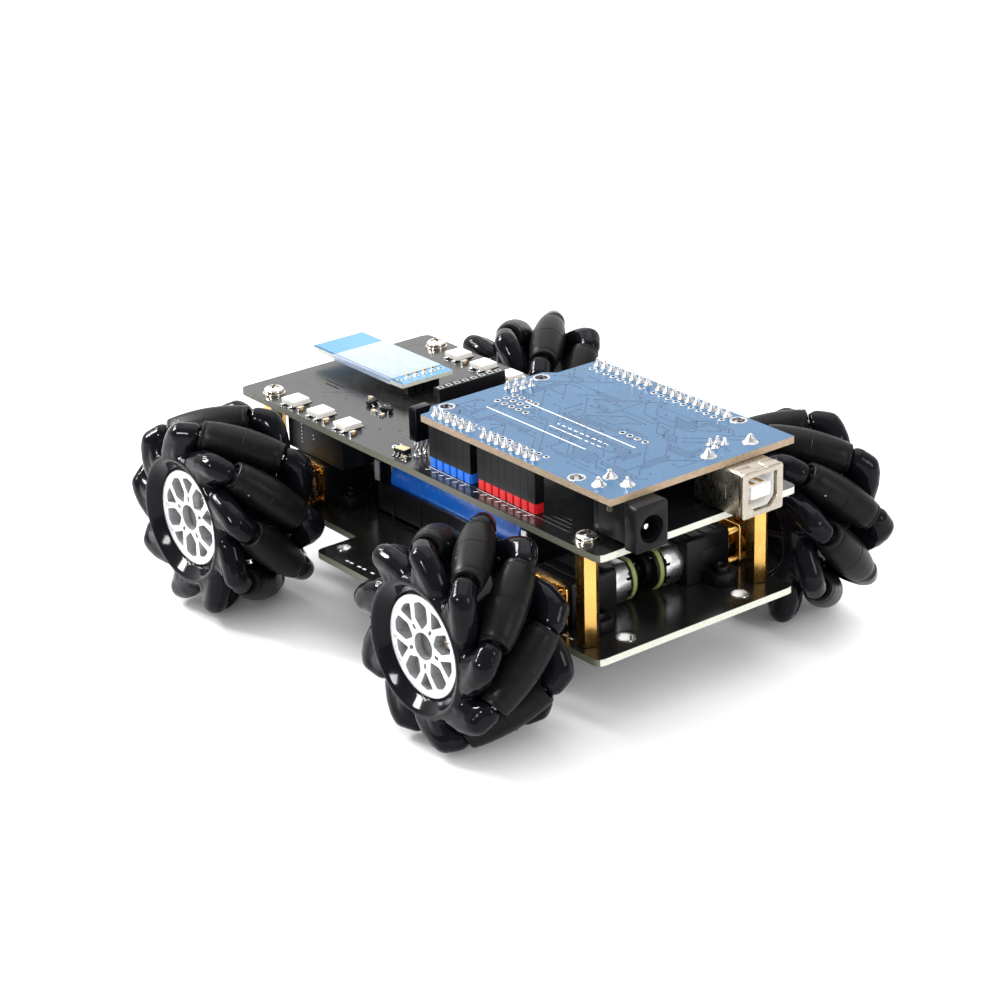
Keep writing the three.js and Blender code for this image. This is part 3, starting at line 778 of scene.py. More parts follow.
def trace_routes(count, low, high, pitch, legs, keep_out=()):
    """Runs of copper on a grid that bend by 45 degrees and never meet; some come as parallel bundles."""
    columns, rows = int((high[0] - low[0]) / pitch), int((high[1] - low[1]) / pitch)
    taken = set()
    for a, b in keep_out:
        taken |= {(i, j) for i in range(columns + 1) for j in range(rows + 1)
                  if a[0] < low[0] + i * pitch < b[0] and a[1] < low[1] + j * pitch < b[1]}
    routes = []
    for _ in range(count * 6):
        if len(routes) >= count:
            break
        start = (rng.randrange(columns), rng.randrange(rows))
        heading = rng.choice((0, 0, 0, 1, 2, 3, 4, 4))
        turns = [(rng.randint(*legs), rng.choice((-1, 1))) for _ in range(rng.randint(1, 4))]
        for strand in range(rng.choice((1, 1, 2, 4, 6))):
            i, j = start[0] - strand, start[1] + strand
            way, route, cells = heading, [(i, j)], []
            for length, bend in turns:
                step = HEADINGS[way % 8]
                for _ in range(length):
                    there = (i + step[0], j + step[1])
                    crossing = {(i + step[0], j), (i, j + step[1])} if step[0] and step[1] else set()
                    blocked = {there, *crossing} & taken
                    if blocked or not (0 <= there[0] <= columns and 0 <= there[1] <= rows):
                        break
                    cells += [there, *crossing]
                    i, j = there
                if (i, j) != route[-1]:
                    route.append((i, j))
                way += bend
            if len(cells) > 3:
                taken |= {*cells, route[0]}
                routes.append([(low[0] + a * pitch, low[1] + b * pitch) for a, b in route])
    return routes


def ribbon(piece, points, width, z, material, height=0.03):
    """A flat strip along points, mitred at its bends."""
    path = [Vector(p) for p in points]
    left, right = [], []
    for i, point in enumerate(path):
        before = (point - path[i - 1]).normalized() if i else (path[1] - point).normalized()
        after = (path[i + 1] - point).normalized() if i + 1 < len(path) else before
        along = (before + after).normalized()
        across = Vector((-along.y, along.x)) * width / 2 / max(0.5, along.dot(before))
        left.append(point + across)
        right.append(point - across)
    bm = bmesh.new()
    outline = left + right[::-1]
    top = [bm.verts.new((p.x, p.y, z + height)) for p in outline]
    low = [bm.verts.new((p.x, p.y, z - 0.01)) for p in outline]
    count, last = len(path), len(outline) - 1
    for i in range(count - 1):
        bm.faces.new((top[i], top[i + 1], top[last - i - 1], top[last - i]))
        bm.faces.new((low[i], low[last - i], low[last - i - 1], low[i + 1]))
    for i in range(len(outline)):
        j = (i + 1) % len(outline)
        bm.faces.new((low[i], low[j], top[j], top[i]))
    bmesh.ops.recalc_face_normals(bm, faces=bm.faces)
    piece.add(bm, material)


STANDOFF_NODES = [f"standoff_{end}_{side}" for end in ENDS for side in SIDES]


def standoff_centre(node):
    """Its place in plan."""
    low, high = box_mm(node)
    return (low.x + high.x) / 2, (low.y + high.y) / 2


def chassis_plates():
    """Lower plate with its two side lobes, and the upper deck, each with its tracks."""
    screw_holes = [circle(SCREW_HOLE_R, *standoff_centre(n), 24) for n in STANDOFF_NODES]
    half, lobe_half = upper_high.y, lower_high.y
    lobe_rear, lobe_front = LOBE_X
    front_holes = [(60.9, side * 16.9, 1.9) for side in (-1, 1)]
    lobe_holes = [(x, side * 35, 1.6) for x in (lobe_rear + 3.2, lobe_front - 3.2) for side in (-1, 1)]
    near = [(lower_low.x, -half, CORNER), (lobe_rear, -half, 0.9), (lobe_rear, -lobe_half, CORNER),
            (lobe_front, -lobe_half, CORNER), (lobe_front, -half, 0.9), (lower_high.x, -half, CORNER)]
    far = [(x, -y, r) for x, y, r in reversed(near)]
    lower = Piece("lower_plate_board", "chassis", "black_board")
    holes = screw_holes + [circle(r, x, y, 28) for x, y, r in front_holes + lobe_holes]
    lower.slab(rounded(near + far, CORNER), holes, lower_low.z, lower_high.z, BLACK_MASK, by_face=deck_edge)
    for x, y, r in front_holes + lobe_holes:
        for z, up in ((lower_high.z, 1), (lower_low.z, -1)):
            ring_pad(lower, x, y, z, r, r + 0.45, STEEL, up)
            ring_pad(lower, x, y, z, r + 1.15, r + 1.3, BLACK_TRACE, up)
        lower.lathe([(r - 0.06, lower_low.z), (r + 0.02, lower_low.z), (r + 0.02, lower_high.z),
                     (r - 0.06, lower_high.z)], STEEL, at(x, y, 0), 28)
    for x, y in ((-13, -39), (-11.4, -38.9), (-8.5, -38.8), (-6.6, -38.7), (-3.6, -38.6), (50.8, -26.2),
                 (53, -26.3)):             # dashes in place of print
        ribbon(lower, [(x, y), (x + 1.1, y + 0.05)], 0.5, lower_high.z, WHITE_PRINT)
    low, high = (lower_low.x + 4, -half + 3), (lower_high.x - 5, half - 3)
    for route in trace_routes(26, low, high, 2.5, (3, 9)):
        ribbon(lower, route, 0.5, lower_high.z, BLACK_TRACE)
    lower.finish(["lower_plate"])

    upper = Piece("upper_deck_board", "chassis", "black_board")
    outline = rounded(rectangle(upper_low.x, -half, upper_high.x, half), CORNER)
    upper.slab(outline, screw_holes, upper_low.z, DECK, BLACK_MASK, by_face=deck_edge)
    for route in trace_routes(60, (upper_low.x + 4, -half + 4), (upper_high.x - 5, half - 4), 1.5, (4, 16)):
        ribbon(upper, route, 0.35, DECK, BLACK_TRACE)
    for i in range(5):                    # a bus of parallel tracks across the bare middle
        y = -4.0 - i * 0.8
        ribbon(upper, [(-60 + i, y - 6), (-52 + i, y - 6), (-46 + i, y), (-18, y), (-12, y - 6), (4, y - 6)],
               0.4, DECK, BLACK_TRACE)
    for x, y in ((-24, -20), (-20, -17), (-46, -14), (-56, 12), (-26, 4), (-22, -3), (-50, 14), (-27, -22)):
        ring_pad(upper, x, y, DECK, 0.2, 0.45, BLACK_TRACE)
    for node in STANDOFF_NODES:
        ring_pad(upper, *standoff_centre(node), DECK, SCREW_HOLE_R, 3.2, BLACK_TRACE)
    upper.finish(["upper_board"])


def block_under_deck():
    """Plain dark block with a column of pin ends, under the deck above the rear right motor."""
    block = Piece("block_under_deck", "chassis", "black_board")
    block.box((-57, -24, 31), (-34, -10, upper_low.z), HOLDER, 0.3)
    for k in range(7):
        block.box((-51.2, -24.15, 33.5 + 0.93 * k), (-50.8, -23.9, 33.9 + 0.93 * k), SOLDER, 0.08)
    for z in (35.6, 36.6):
        block.box((-46.2, -24.12, z), (-45.8, -23.9, z + 0.35), STEEL, 0.08)
    block.finish()


def standoffs():
    """Four hexagonal pillars with a screw head at each end."""
    for node in STANDOFF_NODES:
        x, y = standoff_centre(node)
        standoff = Piece(f"hex_{node}", "chassis", "brass")
        radius = STANDOFF_FLATS / math.sqrt(3)
        outline = [(x + dx, y + dy) for dx, dy in (polar(radius, 5 + 60 * k) for k in range(6))]
        standoff.slab(outline, [], lower_high.z + 0.1, upper_low.z - 0.1, BRASS, 0.12)
        standoff.add(from_mesh(SCREW_HEAD), SCREW, at(x, y, DECK + 0.05, rng.uniform(0, 90)))
        standoff.add(from_mesh(SCREW_HEAD), SCREW, at(x, y, lower_low.z - 0.05, 180, "X"))
        standoff.lathe(peg(SCREW_R, lower_low.z, DECK), SCREW, at(x, y, 0), 16)
        standoff.finish([node])


# ---- parts on the upper deck ----
PITCH = 2.54


def led(piece, x, y):
    """Square light with a round lens, two feet on each side, and its capacitor."""
    base = DECK + 0.25
    piece.post(x, y, 2.5, 2.5, base, base + 1.35, LED_BODY, 0.28)
    lens = [(0, 1.2), (1.75, 1.2), (1.75, 1.38), (1.6, 1.42), (0, 1.42)]
    piece.lathe(lens, LED_LENS, at(x, y, base))
    for side in (-1, 1):
        for foot in (-1.6, 1.6):
            piece.post(x + foot, y + side * 2.9, 0.5, 0.45, DECK + 0.02, DECK + 0.3, SOLDER, 0.12)
            piece.post(x + foot, y + side * 2.5, 0.4, 0.12, DECK + 0.05, base + 0.5, SOLDER, 0.05)
    chip(piece, x + 4.3, y - 1.6, 1.0, 1.7, 0.8, CERAMIC)


def chip(piece, x, y, width, length, height, material, turn=0.0):
    """Two-ended surface-mount part."""
    matrix = at(x, y, DECK, turn)
    piece.post(0, 0, width / 2, length / 2 - 0.3, 0.03, height, material, 0.06, matrix)
    for side in (-1, 1):
        middle = side * (length / 2 - 0.18)
        piece.post(0, middle, width / 2 + 0.03, 0.22, 0.0, height + 0.03, SOLDER, 0.1, matrix)


def leg(piece, x, side, bends, radius, matrix):
    """Bent wire leg of a surface-mount part, through points given as [reach, height]."""
    piece.tube([(x, side * reach, height) for reach, height in bends], radius, SOLDER, matrix, 8, 2)


def transistor(piece, x, y, turn=0.0):
    """Small three-legged part."""
    matrix = at(x, y, DECK, turn)
    piece.post(0, 0, 1.5, 0.7, 0.15, 1.1, HEADER, 0.12, matrix)
    for foot, side in ((-0.95, -1), (0.95, -1), (0, 1)):
        leg(piece, foot, side, ((0.6, 0.55), (1.0, 0.5), (1.1, 0.12), (1.45, 0.1)), 0.16, matrix)


def deck_parts():
    """Lights, surface-mount parts, the upright block on legs and the low eight-pin strip."""
    leds = Piece("deck_lights", "chassis", "black_board")
    for x in (-51.4, -40.8, -29.8):
        led(leds, x, -25.1)
    for x in (-50.5, -40.3, -29.8):
        led(leds, x, 24.1)
    leds.finish()

    parts = Piece("deck_components", "chassis", "black_board")
    transistor(parts, -32.0, -12.0, 25)
    transistor(parts, -38.2, -11.7, 100)
    for x, y, turn in ((-34.6, -11.2, 0), (-33.8, -14.4, 90), (-30.4, -14.6, 20), (-41.6, -9.6, 90),
                       (-11.6, -23.4, 0), (-5.2, -26.4, 90), (-14.0, 20.0, 0), (-18.0, 24.0, 90)):
        chip(parts, x, y, 0.8, 1.6, 0.6, CERAMIC if turn else HEADER, turn)
    regulator = at(-7.5, -25.4, DECK, 10)
    parts.post(0, 0, 1.7, 1.2, 0.3, 1.6, HEADER, 0.12, regulator)
    parts.post(0, 0, 1.6, 1.1, 1.55, 1.7, CERAMIC, 0.05, regulator)
    for foot in (-1.2, 0, 1.2):
        for side in (-1, 1):
            leg(parts, foot, side, ((1.1, 0.8), (1.5, 0.7), (1.7, 0.15), (2.1, 0.1)), 0.18, regulator)
    for x, y, start, stop in ((-11.6, -23.6, 60, 300), (-3.6, -24.6, 90, 210)):
        arc = [(x + polar(1.7, a)[0], y + polar(1.1, a)[1]) for a in range(start, stop + 1, 20)]
        ribbon(parts, arc, 0.28, DECK, WHITE_PRINT)
    parts.finish()

    upright = Piece("upright_connector", "chassis", "black_plastic")
    upright.box((-6.2, -24.2, 47.6), (-3.4, -19.4, 55.4), GLOSS, 0.18)
    upright.box((-6.0, -24.0, 55.3), (-3.6, -19.6, 55.7), GLOSS, 0.1)
    for y in (-23.2, -21.8, -20.4):
        for x in (-5.4, -4.2):
            wire = [(x, y, 48), (x, y, 46.4), (x - 0.4, y - 0.2, 45.4), (x - 0.6, y - 0.3, DECK - 0.3)]
            upright.tube(wire, 0.27, SOLDER, None, 8, 2)
            upright.lathe([(0, 0), (0.6, 0), (0.4, 0.3), (0, 0.5)], SOLDER, at(x - 0.6, y - 0.3, DECK), 12)
    upright.finish()

    strip = Piece("low_socket_strip", "chassis", "black_plastic")
    x, first = -29.55, 2.57
    strip.box((-30.8, first - PITCH / 2, DECK + 0.05), (-28.3, first + 7.5 * PITCH, DECK + 3.2), HEADER, 0.1)
    rim = rounded(rectangle(-0.75, -0.75, 0.75, 0.75), 0.1, 2)
    mouth = rounded(rectangle(-0.45, -0.45, 0.45, 0.45), 0.05, 2)
    for i in range(8):
        y = first + i * PITCH
        strip.slab(rim, [mouth], DECK + 3.15, DECK + 3.27, SOLDER, 0.0, at(x, y, 0))
        # dark square in the mouth: painted shade of the socket's depth
        strip.post(x, y, 0.45, 0.45, DECK + 3.1, DECK + 3.23, HOLE_SHADE, 0.02)
    strip.finish()


# ---- wireless module ----
MODULE_T = 1.0
MODULE_PINS_X = -38.3
WRAP_T = 0.08                          # film over the module


def wireless_module():
    """Small board on four pins, wrapped in film over its parts."""
    low, high = box_mm("wireless_module")
    pins_x, y0, top = MODULE_PINS_X, (low.y + high.y) / 2, high.z - 0.05
    module = Piece("module_board", "chassis", "blue_board")

    outline = rounded(rectangle(low.x, low.y, high.x, high.y), 0.4, 3)
    module.slab(outline, [], top - MODULE_T, top, MODULE_MASK, by_face=sides_in(PALE_EDGE))
    for k in range(6):
        y = y0 + (k - 2.5) * PITCH
        ring_pad(module, pins_x, y, top, 0.4, 0.85, SOLDER)
        if k in (0, 5):
            # dark disc in place of the open hole: painted shade
            module.lathe(peg(0.4, 0, 0.02), HOLE_SHADE, at(pins_x, y, top), 16)
            continue
        module.post(pins_x, y, 0.3, 0.3, DECK + 0.2, high.z + 1.1, BRASS, 0.12)
        module.lathe([(0, 0), (0.75, 0), (0.5, 0.25), (0.36, 0.6), (0, 0.6)], SOLDER,
                     at(pins_x, y, high.z - 0.03), 16)
        module.post(pins_x, y, 1.25, 1.0, DECK + 0.1, top - MODULE_T, HEADER, 0.15)
    wrap_x = low.x + 9.2
    film = high.z + WRAP_T
    module.box((wrap_x, low.y - 0.05, high.z - 1.3), (pins_x - 1.9, high.y + 0.05, film), WRAP, 0.12)
    ribbon(module, [(low.x + 0.6, low.y + 0.5), (pins_x + 2.4, low.y + 0.5)], 0.25, film, BLUE_TRACE)
    for k in range(7):                     # plain bars where the wrapped board carries its parts
        x = wrap_x + 2.5 + k * 2.9
        for y, length, width in ((y0 - 4.5 + k % 3, 1.9, 0.35), (y0 + 3.0 - k % 2, 2.3, 0.3)):
            ribbon(module, [(x, y), (x + length, y)], width, high.z + 0.07, WHITE_PRINT)
    module.finish(["wireless_module"])


# ---- controller ----
MIL = 0.0254
USB_SIZE = box_mm("usb_socket")
BOARD_LOW, BOARD_HIGH = box_mm("controller_board")
BOARD_X0 = BOARD_LOW.x + 2700 * MIL
BOARD_Y0 = BOARD_LOW.y
SOLDER_H = 2.0
BOARD_T = 1.6
BOARD_TOP = BOARD_HIGH.z - SOLDER_H
BOARD_UNDER = BOARD_TOP - BOARD_T
HOLE_R = 1.6


def spot(mil_x, mil_y):
    """A place on the controller, from its own layout in thousandths of an inch."""
    return BOARD_X0 - mil_x * MIL, BOARD_Y0 + mil_y * MIL


HEADER_ROWS = [(1100, 8, 100), (2000, 6, 100), (1800, 8, 2000), (740, 10, 2000)]    # first, pins, row
SPARE_ROWS = [(1100, 8, 200), (2000, 6, 200), (1800, 8, 1900), (740, 10, 1900)]


def solder_cone(piece, x, y, radius=1.0, height=1.9, tip=0.3):
    """A joint drawn up round a pin's end, leaning a little at random."""
    profile = [(0, 0), (radius, 0), (radius * 0.9, 0.12), (radius * 0.66, height * 0.35),
               (tip * 1.2, height * 0.85), (tip, height * 0.94), (tip * 0.5, height), (0, height)]
    matrix = at(x, y, BOARD_TOP + 0.01)
    for axis in "XY":
        matrix = matrix @ Matrix.Rotation(rng.uniform(-0.06, 0.06), 4, axis)
    piece.lathe(profile, SOLDER, matrix, 16)
    ring_pad(piece, x, y, BOARD_TOP, 0.3, radius + 0.12, SOLDER)


def open_pad(piece, x, y, hole_r, pad_r=0.8):
    """Tinned pad, its empty hole drawn as a dark disc of painted shade."""
    ring_pad(piece, x, y, BOARD_TOP, hole_r, pad_r, TINNED)
    piece.lathe(peg(hole_r, 0, 0.03), HOLE_SHADE, at(x, y, BOARD_TOP - 0.005), 18)


def via(piece, x, y):
    piece.lathe([(0, 0), (0.3, 0), (0.26, 0.04), (0, 0.04)], BLUE_TRACE, at(x, y, BOARD_TOP), 10)


def controller_board():
    """Controller with its solder side up, and the joints that stand on it."""
    board = Piece("controller_pcb", "chassis", "blue_board")
    corners = [(0, 0, 0.3), (2600, 0, 0.5), (2600, 100, 0.5), (2700, 200, 0.5), (2700, 1490, 0.5),
               (2600, 1590, 0.5), (2600, 2040, 0.5), (2540, 2100, 0.5), (0, 2100, 0.3)]
    outline = rounded([(*spot(x, y), r) for x, y, r in corners], 0.5, 3)[::-1]
    holes = [spot(550, 100), spot(600, 2000), spot(2600, 1400), spot(2600, 300)]
    board.slab(outline, [circle(HOLE_R, x, y, 30) for x, y in holes], BOARD_UNDER, BOARD_TOP, BLUE_MASK,
               by_face=sides_in(TAN_EDGE))
    sleeve = [(HOLE_R - 0.08, BOARD_UNDER), (HOLE_R + 0.02, BOARD_UNDER), (HOLE_R + 0.02, BOARD_TOP),
              (HOLE_R - 0.08, BOARD_TOP)]
    for x, y in holes:
        ring_pad(board, x, y, BOARD_TOP, HOLE_R, 2.05, SOLDER)
        board.lathe(sleeve, SOLDER, at(x, y, 0), 28)
    for first, count, row in SPARE_ROWS:
        for k in range(count):
            open_pad(board, *spot(first + 100 * k - 30, row), 0.45, 0.72)
    prototyping = [(2405 - 100 * (k // 3), 730 + 100 * (k % 3)) for k in range(13)]
    for x, y in prototyping + [(760 + 100 * k, 1050) for k in range(4)]:
        open_pad(board, *spot(x, y), 0.52)

    keep_out = [(spot(2500, 0), spot(700, 260)), (spot(2560, 1840), spot(650, 2100))]
    low, high = spot(2560, 260), spot(120, 1830)
    for route in trace_routes(150, low, high, 0.8, (3, 16), keep_out):
        ribbon(board, route, 0.2, BOARD_TOP, BLUE_TRACE, 0.02)
        via(board, *route[0])
        via(board, *route[-1])
    for _ in range(30):
        via(board, rng.uniform(low[0], high[0]), rng.uniform(low[1], high[1]))
    for start, stop, row in ((2350, 980, 560), (2200, 720, 900)):
        ribbon(board, [spot(start, row), spot(stop, row)], 0.32, BOARD_TOP, WHITE_PRINT)
    for k in range(9):                     # plain dashes in place of print
        for row in (690, 770):
            start, length = 1620 - 80 * k, 40 + (k * 37 + row) % 35
            ribbon(board, [spot(start, row), spot(start - length, row)], 0.3, BOARD_TOP, WHITE_PRINT)
    board.finish(["controller_board"])

    joints = Piece("controller_solder", "chassis", "blue_board")
    for first, count, row in HEADER_ROWS:
        for k in range(count):
            solder_cone(joints, *spot(first + 100 * k, row))
    for k in range(6):
        solder_cone(joints, *spot(2500 + 100 * (k // 3), 1000 + 100 * (k % 3)), 0.75, 1.7)
    for x, y in ((58.4, 9.9), (60.4, 9.7), (58.4, 12.1), (60.3, 12.5)):
        solder_cone(joints, x, y, 0.8, 1.5)
    for x, y in ((63.2, 5.1), (63.2, 17.4)):
        solder_cone(joints, x, y, 1.75, 1.95, 0.45)
    blob = [(0, 0, 0.1), (0, 0, 0.6), (0, 0.05, 1.0), (0, 0, 1.35)]
    for x, y, turn in ((59.5, -22.9, 20), (57.9, -18.4, 80), (63.5, -18.4, 0)):
        ring_pad(joints, x, y, BOARD_TOP, 0.5, 1.7, SOLDER)
        flat, squat = (at(x, y, BOARD_TOP, turn) @ Matrix.Diagonal(scale)
                       for scale in ((1, 0.5, 1, 1), (1, 0.8, 0.35, 1)))
        joints.add(tube_mesh(blob, [1.7, 1.15, 0.9, 0.6], 20, 3), SOLDER, flat)
        joints.add(tube_mesh([(0, 0, -0.6), (0, 0, 0.15)], [1.9, 1.3], 20, 2), SOLDER, squat)
    joints.finish()


def header_strips():
    """Sockets under the controller, over the coloured bases of the deck's own pins."""
    strips = Piece("header_strips", "chassis", "black_plastic")
    bases = {(2000, 100): BLUE_BASE, (1100, 100): RED_BASE}
    low, top = DECK + 0.12, DECK + 2.5
    for first, count, row in HEADER_ROWS:
        last_x, y = spot(first - 50, row)
        first_x = spot(first + 100 * count - 50, row)[0]
        strips.box((first_x, y - 1.25, top + 0.05), (last_x, y + 1.25, BOARD_UNDER - 0.02), HEADER, 0.08)
        material = bases.get((first, row), HEADER)
        for k in range(count):
            x = spot(first + 100 * k, row)[0]
            strips.box((x - 0.95, y - 1.25, low), (x + 0.95, y + 1.2, top), material, 0.18)
            strips.box((x - 1.25, y - 0.9, low), (x + 1.25, y + 1.15, top - 0.1), material, 0.1)
            strips.post(x, y, 0.32, 0.32, DECK - 2.6, DECK + 0.3, BRASS, 0.08)
            for side in (-1, 1):           # shallow ribs between the sockets
                edge_y = y + side * 1.25
                strips.post(x + 1.27, edge_y, 0.05, 0.03, top + 0.3, BOARD_UNDER - 0.3, HEADER, 0.01)
            if row == 100:
                tick = [(x - 0.5, y - 3.1), (x + 0.35, y - 1.9 - 0.3 * (k % 2))]
                ribbon(strips, tick, 0.24, DECK, WHITE_PRINT)
        line_y = y + (-1.5 if row == 100 else 1.5)
        ribbon(strips, [(first_x, line_y), (last_x, line_y)], 0.16, DECK, WHITE_PRINT)
    strips.finish()


JACK_BORE_Z = 48.9
JACK_BORE_R = 3.15
JACK_HALF_W = 4.5
JACK_H = 10.6


def barrel_jack():
    """Open power inlet with its centre pin, mouth towards +X."""
    x, y = BOARD_HIGH.x, BOARD_Y0 + 7.7
    z, half, bottom, top = JACK_BORE_Z, JACK_HALF_W, BOARD_UNDER - JACK_H, BOARD_UNDER
    jack = Piece("barrel_jack", "chassis", "black_plastic")
    face = [(y - half, bottom, 0.35), (y + half, bottom, 0.35), (y + half, top - 0.6, 0.5),
            (y + half - 0.6, top, 0.3), (y - half + 0.6, top, 0.3), (y - half, top - 0.6, 0.5)]
    back = rounded(rectangle(y - half + 0.4, bottom + 0.9, y + half - 0.4, top), 0.5, 3)
    for outline, bore_r, x0, x1, bevel in (
            (rounded(face, 0.3, 3), JACK_BORE_R, -3.6, 0, 0.12),
            (back, JACK_BORE_R - 0.05, -12.6, -3.5, 0.1), (back, 0, -14, -12.5, 0.1)):
        bore = [circle(bore_r, y, z)] if bore_r else []
        jack.slab(outline, bore, x + x0, x + x1, JACK_BLACK, bevel, OUTLINE_IN_YZ)
    mouth = Matrix.Translation((x, y, z)) @ ALONG_X
    # bore lined in the flat hole black: painted shade inside the bore
    jack.lathe([(2.75, -12.4), (3.12, -12.4), (3.12, -0.9), (3.0, -0.8), (2.75, -0.9)], HOLE_SHADE, mouth, 40)
    pin = [(0, -12.4), (1.0, -12.4), (1.0, -2.6), (0.92, -2.2), (0.6, -1.8), (0, -1.7)]
    jack.lathe(pin, STEEL, mouth, 24)
    jack.box((x - 9.4, y - 4.4, top - 3.4), (x - 7.8, y - 4.0, top), SHELL, 0.06)
    jack.finish()


def usb_socket():
    """Open square socket: shell, white liner with its tongue, four contacts and the pressed springs."""
    low, high = USB_SIZE
    y, z = (low.y + high.y) / 2, (low.z + high.z) / 2
    socket = Piece("usb_shell", "chassis", "steel")
    mouth = [(y - 4.2, z + 3.9), (y - 4.2, z - 2.0), (y - 2.4, z - 3.9), (y + 2.4, z - 3.9),
             (y + 4.2, z - 2.0), (y + 4.2, z + 3.9)]
    opening = rounded(mouth, 0.3, 3)[::-1]
    outer = rounded(rectangle(low.y, low.z, high.y, high.z), 0.7, 4)
    inset = rounded(rectangle(low.y + 0.15, low.z + 0.15, high.y - 0.15, high.z), 0.6, 4)
    wide = rectangle(y - 5.4, z - 4.7, y + 5.4, z + 4.7)
    liner = rounded(wide, 0.3, 3)
    for outline, holes, x0, x1, material, bevel in (
            (outer, [opening], high.x - 1.3, high.x, SHELL, 0.22),
            (inset, [rounded(wide, 0.4, 3)], low.x, high.x - 1.2, SHELL, 0.08),
            (inset, [], low.x, low.x + 0.5, SHELL, 0.08),
            (liner, [opening], low.x + 0.4, high.x - 1.2, WHITE_PLASTIC, 0.05),
            (liner, [], low.x + 0.6, high.x - 9, WHITE_PLASTIC, 0.05)):
        socket.slab(outline, holes, x0, x1, material, bevel, OUTLINE_IN_YZ)
    socket.box((high.x - 9.4, y - 2.8, z - 1.5), (high.x - 0.6, y + 2.8, z + 1.5), WHITE_PLASTIC, 0.28)
    for side in (-1, 1):
        for rail in (-1.3, 1.3):
            level = z + side * 1.55
            socket.post(high.x - 5.2, y + rail, 3.6, 0.5, level - 0.1, level + 0.1, BRASS, 0.04)
    for side in (-1, 1):                   # spring tongues pressed out of the shell's sides
        socket.post(low.x + 8, y + side * 5.88, 2.5, 0.09, z - 1.6, z + 1.6, SHELL, 0.05)
    for middle in (-3.4, 3.4):
        socket.post(high.x - 1.75, y + middle, 1.45, 1.8, high.z - 0.1, high.z + 0.16, SHELL, 0.05)
    socket.finish(["usb_socket"])


# ---- battery holder and cells ----
HOLDER_WALL = 1.3
HOLDER_SIDE_TOP = 27.6
CONTACT_Y = 8.1
def battery():
    """Open tray with its contacts and coils, and the two cells, which lie in opposite directions."""
    low, high = box_mm("battery_holder")
    wall, side_top = HOLDER_WALL, HOLDER_SIDE_TOP
    tray = Piece("battery_tray", "chassis", "black_plastic")
    tray.box(low, (high.x, high.y, low.z + 1.5), HOLDER, 0.3)
    for y0, y1 in ((low.y, low.y + wall), (-wall / 2, wall / 2), (high.y - wall, high.y)):
        tray.box((low.x, y0, low.z), (high.x, y1, side_top), HOLDER, 0.3)
    for x0, x1 in ((low.x, low.x + wall), (high.x - wall, high.x)):
        tray.box((x0, low.y, low.z), (x1, high.y, high.z), HOLDER, 0.3)
    for face in (low.y, high.y):           # ribs outside the long walls
        for k in range(-2, 3):
            tray.post((low.x + high.x) / 2 + k * 11, face, 0.5, 0.12, low.z, side_top - 0.8, HOLDER, 0.08)
    tray.finish(["battery_holder"])

    cell_low, cell_high = box_mm("battery_cell_right")
    axis_z = (cell_low.z + cell_high.z) / 2
    contacts = Piece("battery_contacts", "chassis", "steel")
    for x0, x1 in ((low.x - 0.03, low.x + 1.8), (high.x - 1.8, high.x + 0.03)):
        for y0, y1 in ((low.y - 0.04, low.y + 0.4), (high.y - 0.4, high.y + 0.04)):
            contacts.box((x0, y0, side_top + 0.1), (x1, y1, high.z + 0.03), CONTACT, 0.1)
    for side in (-1, 1):
        y = side * CONTACT_Y
        for end, x in ((-1, low.x + wall), (1, high.x - wall)):
            contacts.post(x - end * 0.125, y, 0.125, 4.5, low.z + 2, high.z - 0.4, CONTACT, 0.08)
            coil = []
            for k in range(41):            # spring or stud wire at each end of a cell
                turn = 2 * math.pi * k / 13.3
                radius = 3.6 - 1.4 * k / 40
                coil.append((x - end * (0.4 + 2.1 * k / 40), y + radius * math.cos(turn),
                             axis_z + radius * math.sin(turn)))
            contacts.tube(coil, 0.22, STEEL, None, 6, 1)
    contacts.finish()

    for side, facing in SIDES.items():
        low, high = box_mm(f"battery_cell_{side}")
        middle = (low + high) / 2
        end, radius = (high.x - low.x) / 2, (high.z - low.z) / 2
        body = [(0, 0.1 - end), (5.2, 0.1 - end), (5.5, 0.3 - end), (6.3, 0.02 - end),
                (radius - 0.25, 0.15 - end), (radius, 0.8 - end), (radius, end - 3.2),
                (radius - 0.3, end - 2.6), (radius - 0.32, end - 2.2), (radius - 0.02, end - 1.7),
                (radius - 0.1, end - 1.0), (6.3, end - 0.72), (5.5, end - 0.75), (5.3, end - 1.1),
                (0, end - 1.1)]
        cap = [(0, end - 1.15), (4.9, end - 1.15), (4.9, end - 0.9), (3.0, end - 0.8), (2.7, end - 0.1),
               (2.4, end), (0, end)]
        foot = [(0, -end), (5.0, -end), (5.1, 0.15 - end), (0, 0.15 - end)]
        matrix = Matrix.Translation(middle) @ Matrix.Rotation(math.radians(90 * -facing), 4, "Y")
        cell = Piece(f"cell_{side}", "chassis", "blue_wrap")
        cell.lathe(body, CELL, matrix, 56)
        cell.lathe(cap, STEEL, matrix)
        cell.lathe(foot, STEEL, matrix)
        seam_y, seam_z = polar(radius, 62)
        seam = [(1.2 - end, seam_y, seam_z), (end - 3.6, seam_y, seam_z)]
        cell.tube(seam, 0.06, CELL, Matrix.Translation(middle), 6, 1)
        cell.finish([f"battery_cell_{side}"])


# ---- gearmotors, drawn pointing along +Y ----
MOTOR_HALF_W = 6.0
MOTOR_HALF_H = 4.85
GEARBOX_PLATES = ((23.3, 24.1), (27.5, 28.2))
GEARS = (                              # from y, to y, radius, teeth, material, and how far off the axis
    (24.5, 25.4, 4.3, 34, STEEL, 0.6, 0.2), (25.7, 27.1, 2.4, 16, BRASS, 0.6, 0.2),
    (28.6, 29.5, 4.2, 32, STEEL, -0.5, 0.3), (29.8, 31.2, 3.3, 24, BRASS, 0.0, 0.0),
    (25.9, 26.8, 2.6, 18, STEEL, -3.3, -1.2), (28.7, 29.6, 1.6, 10, BRASS, 3.9, 0.6))
CLAMP_TOP = 30.3
EAR_X, EAR_Y, EAR_R, EAR_T = 9.6, 18.5, 3.6, 2.8


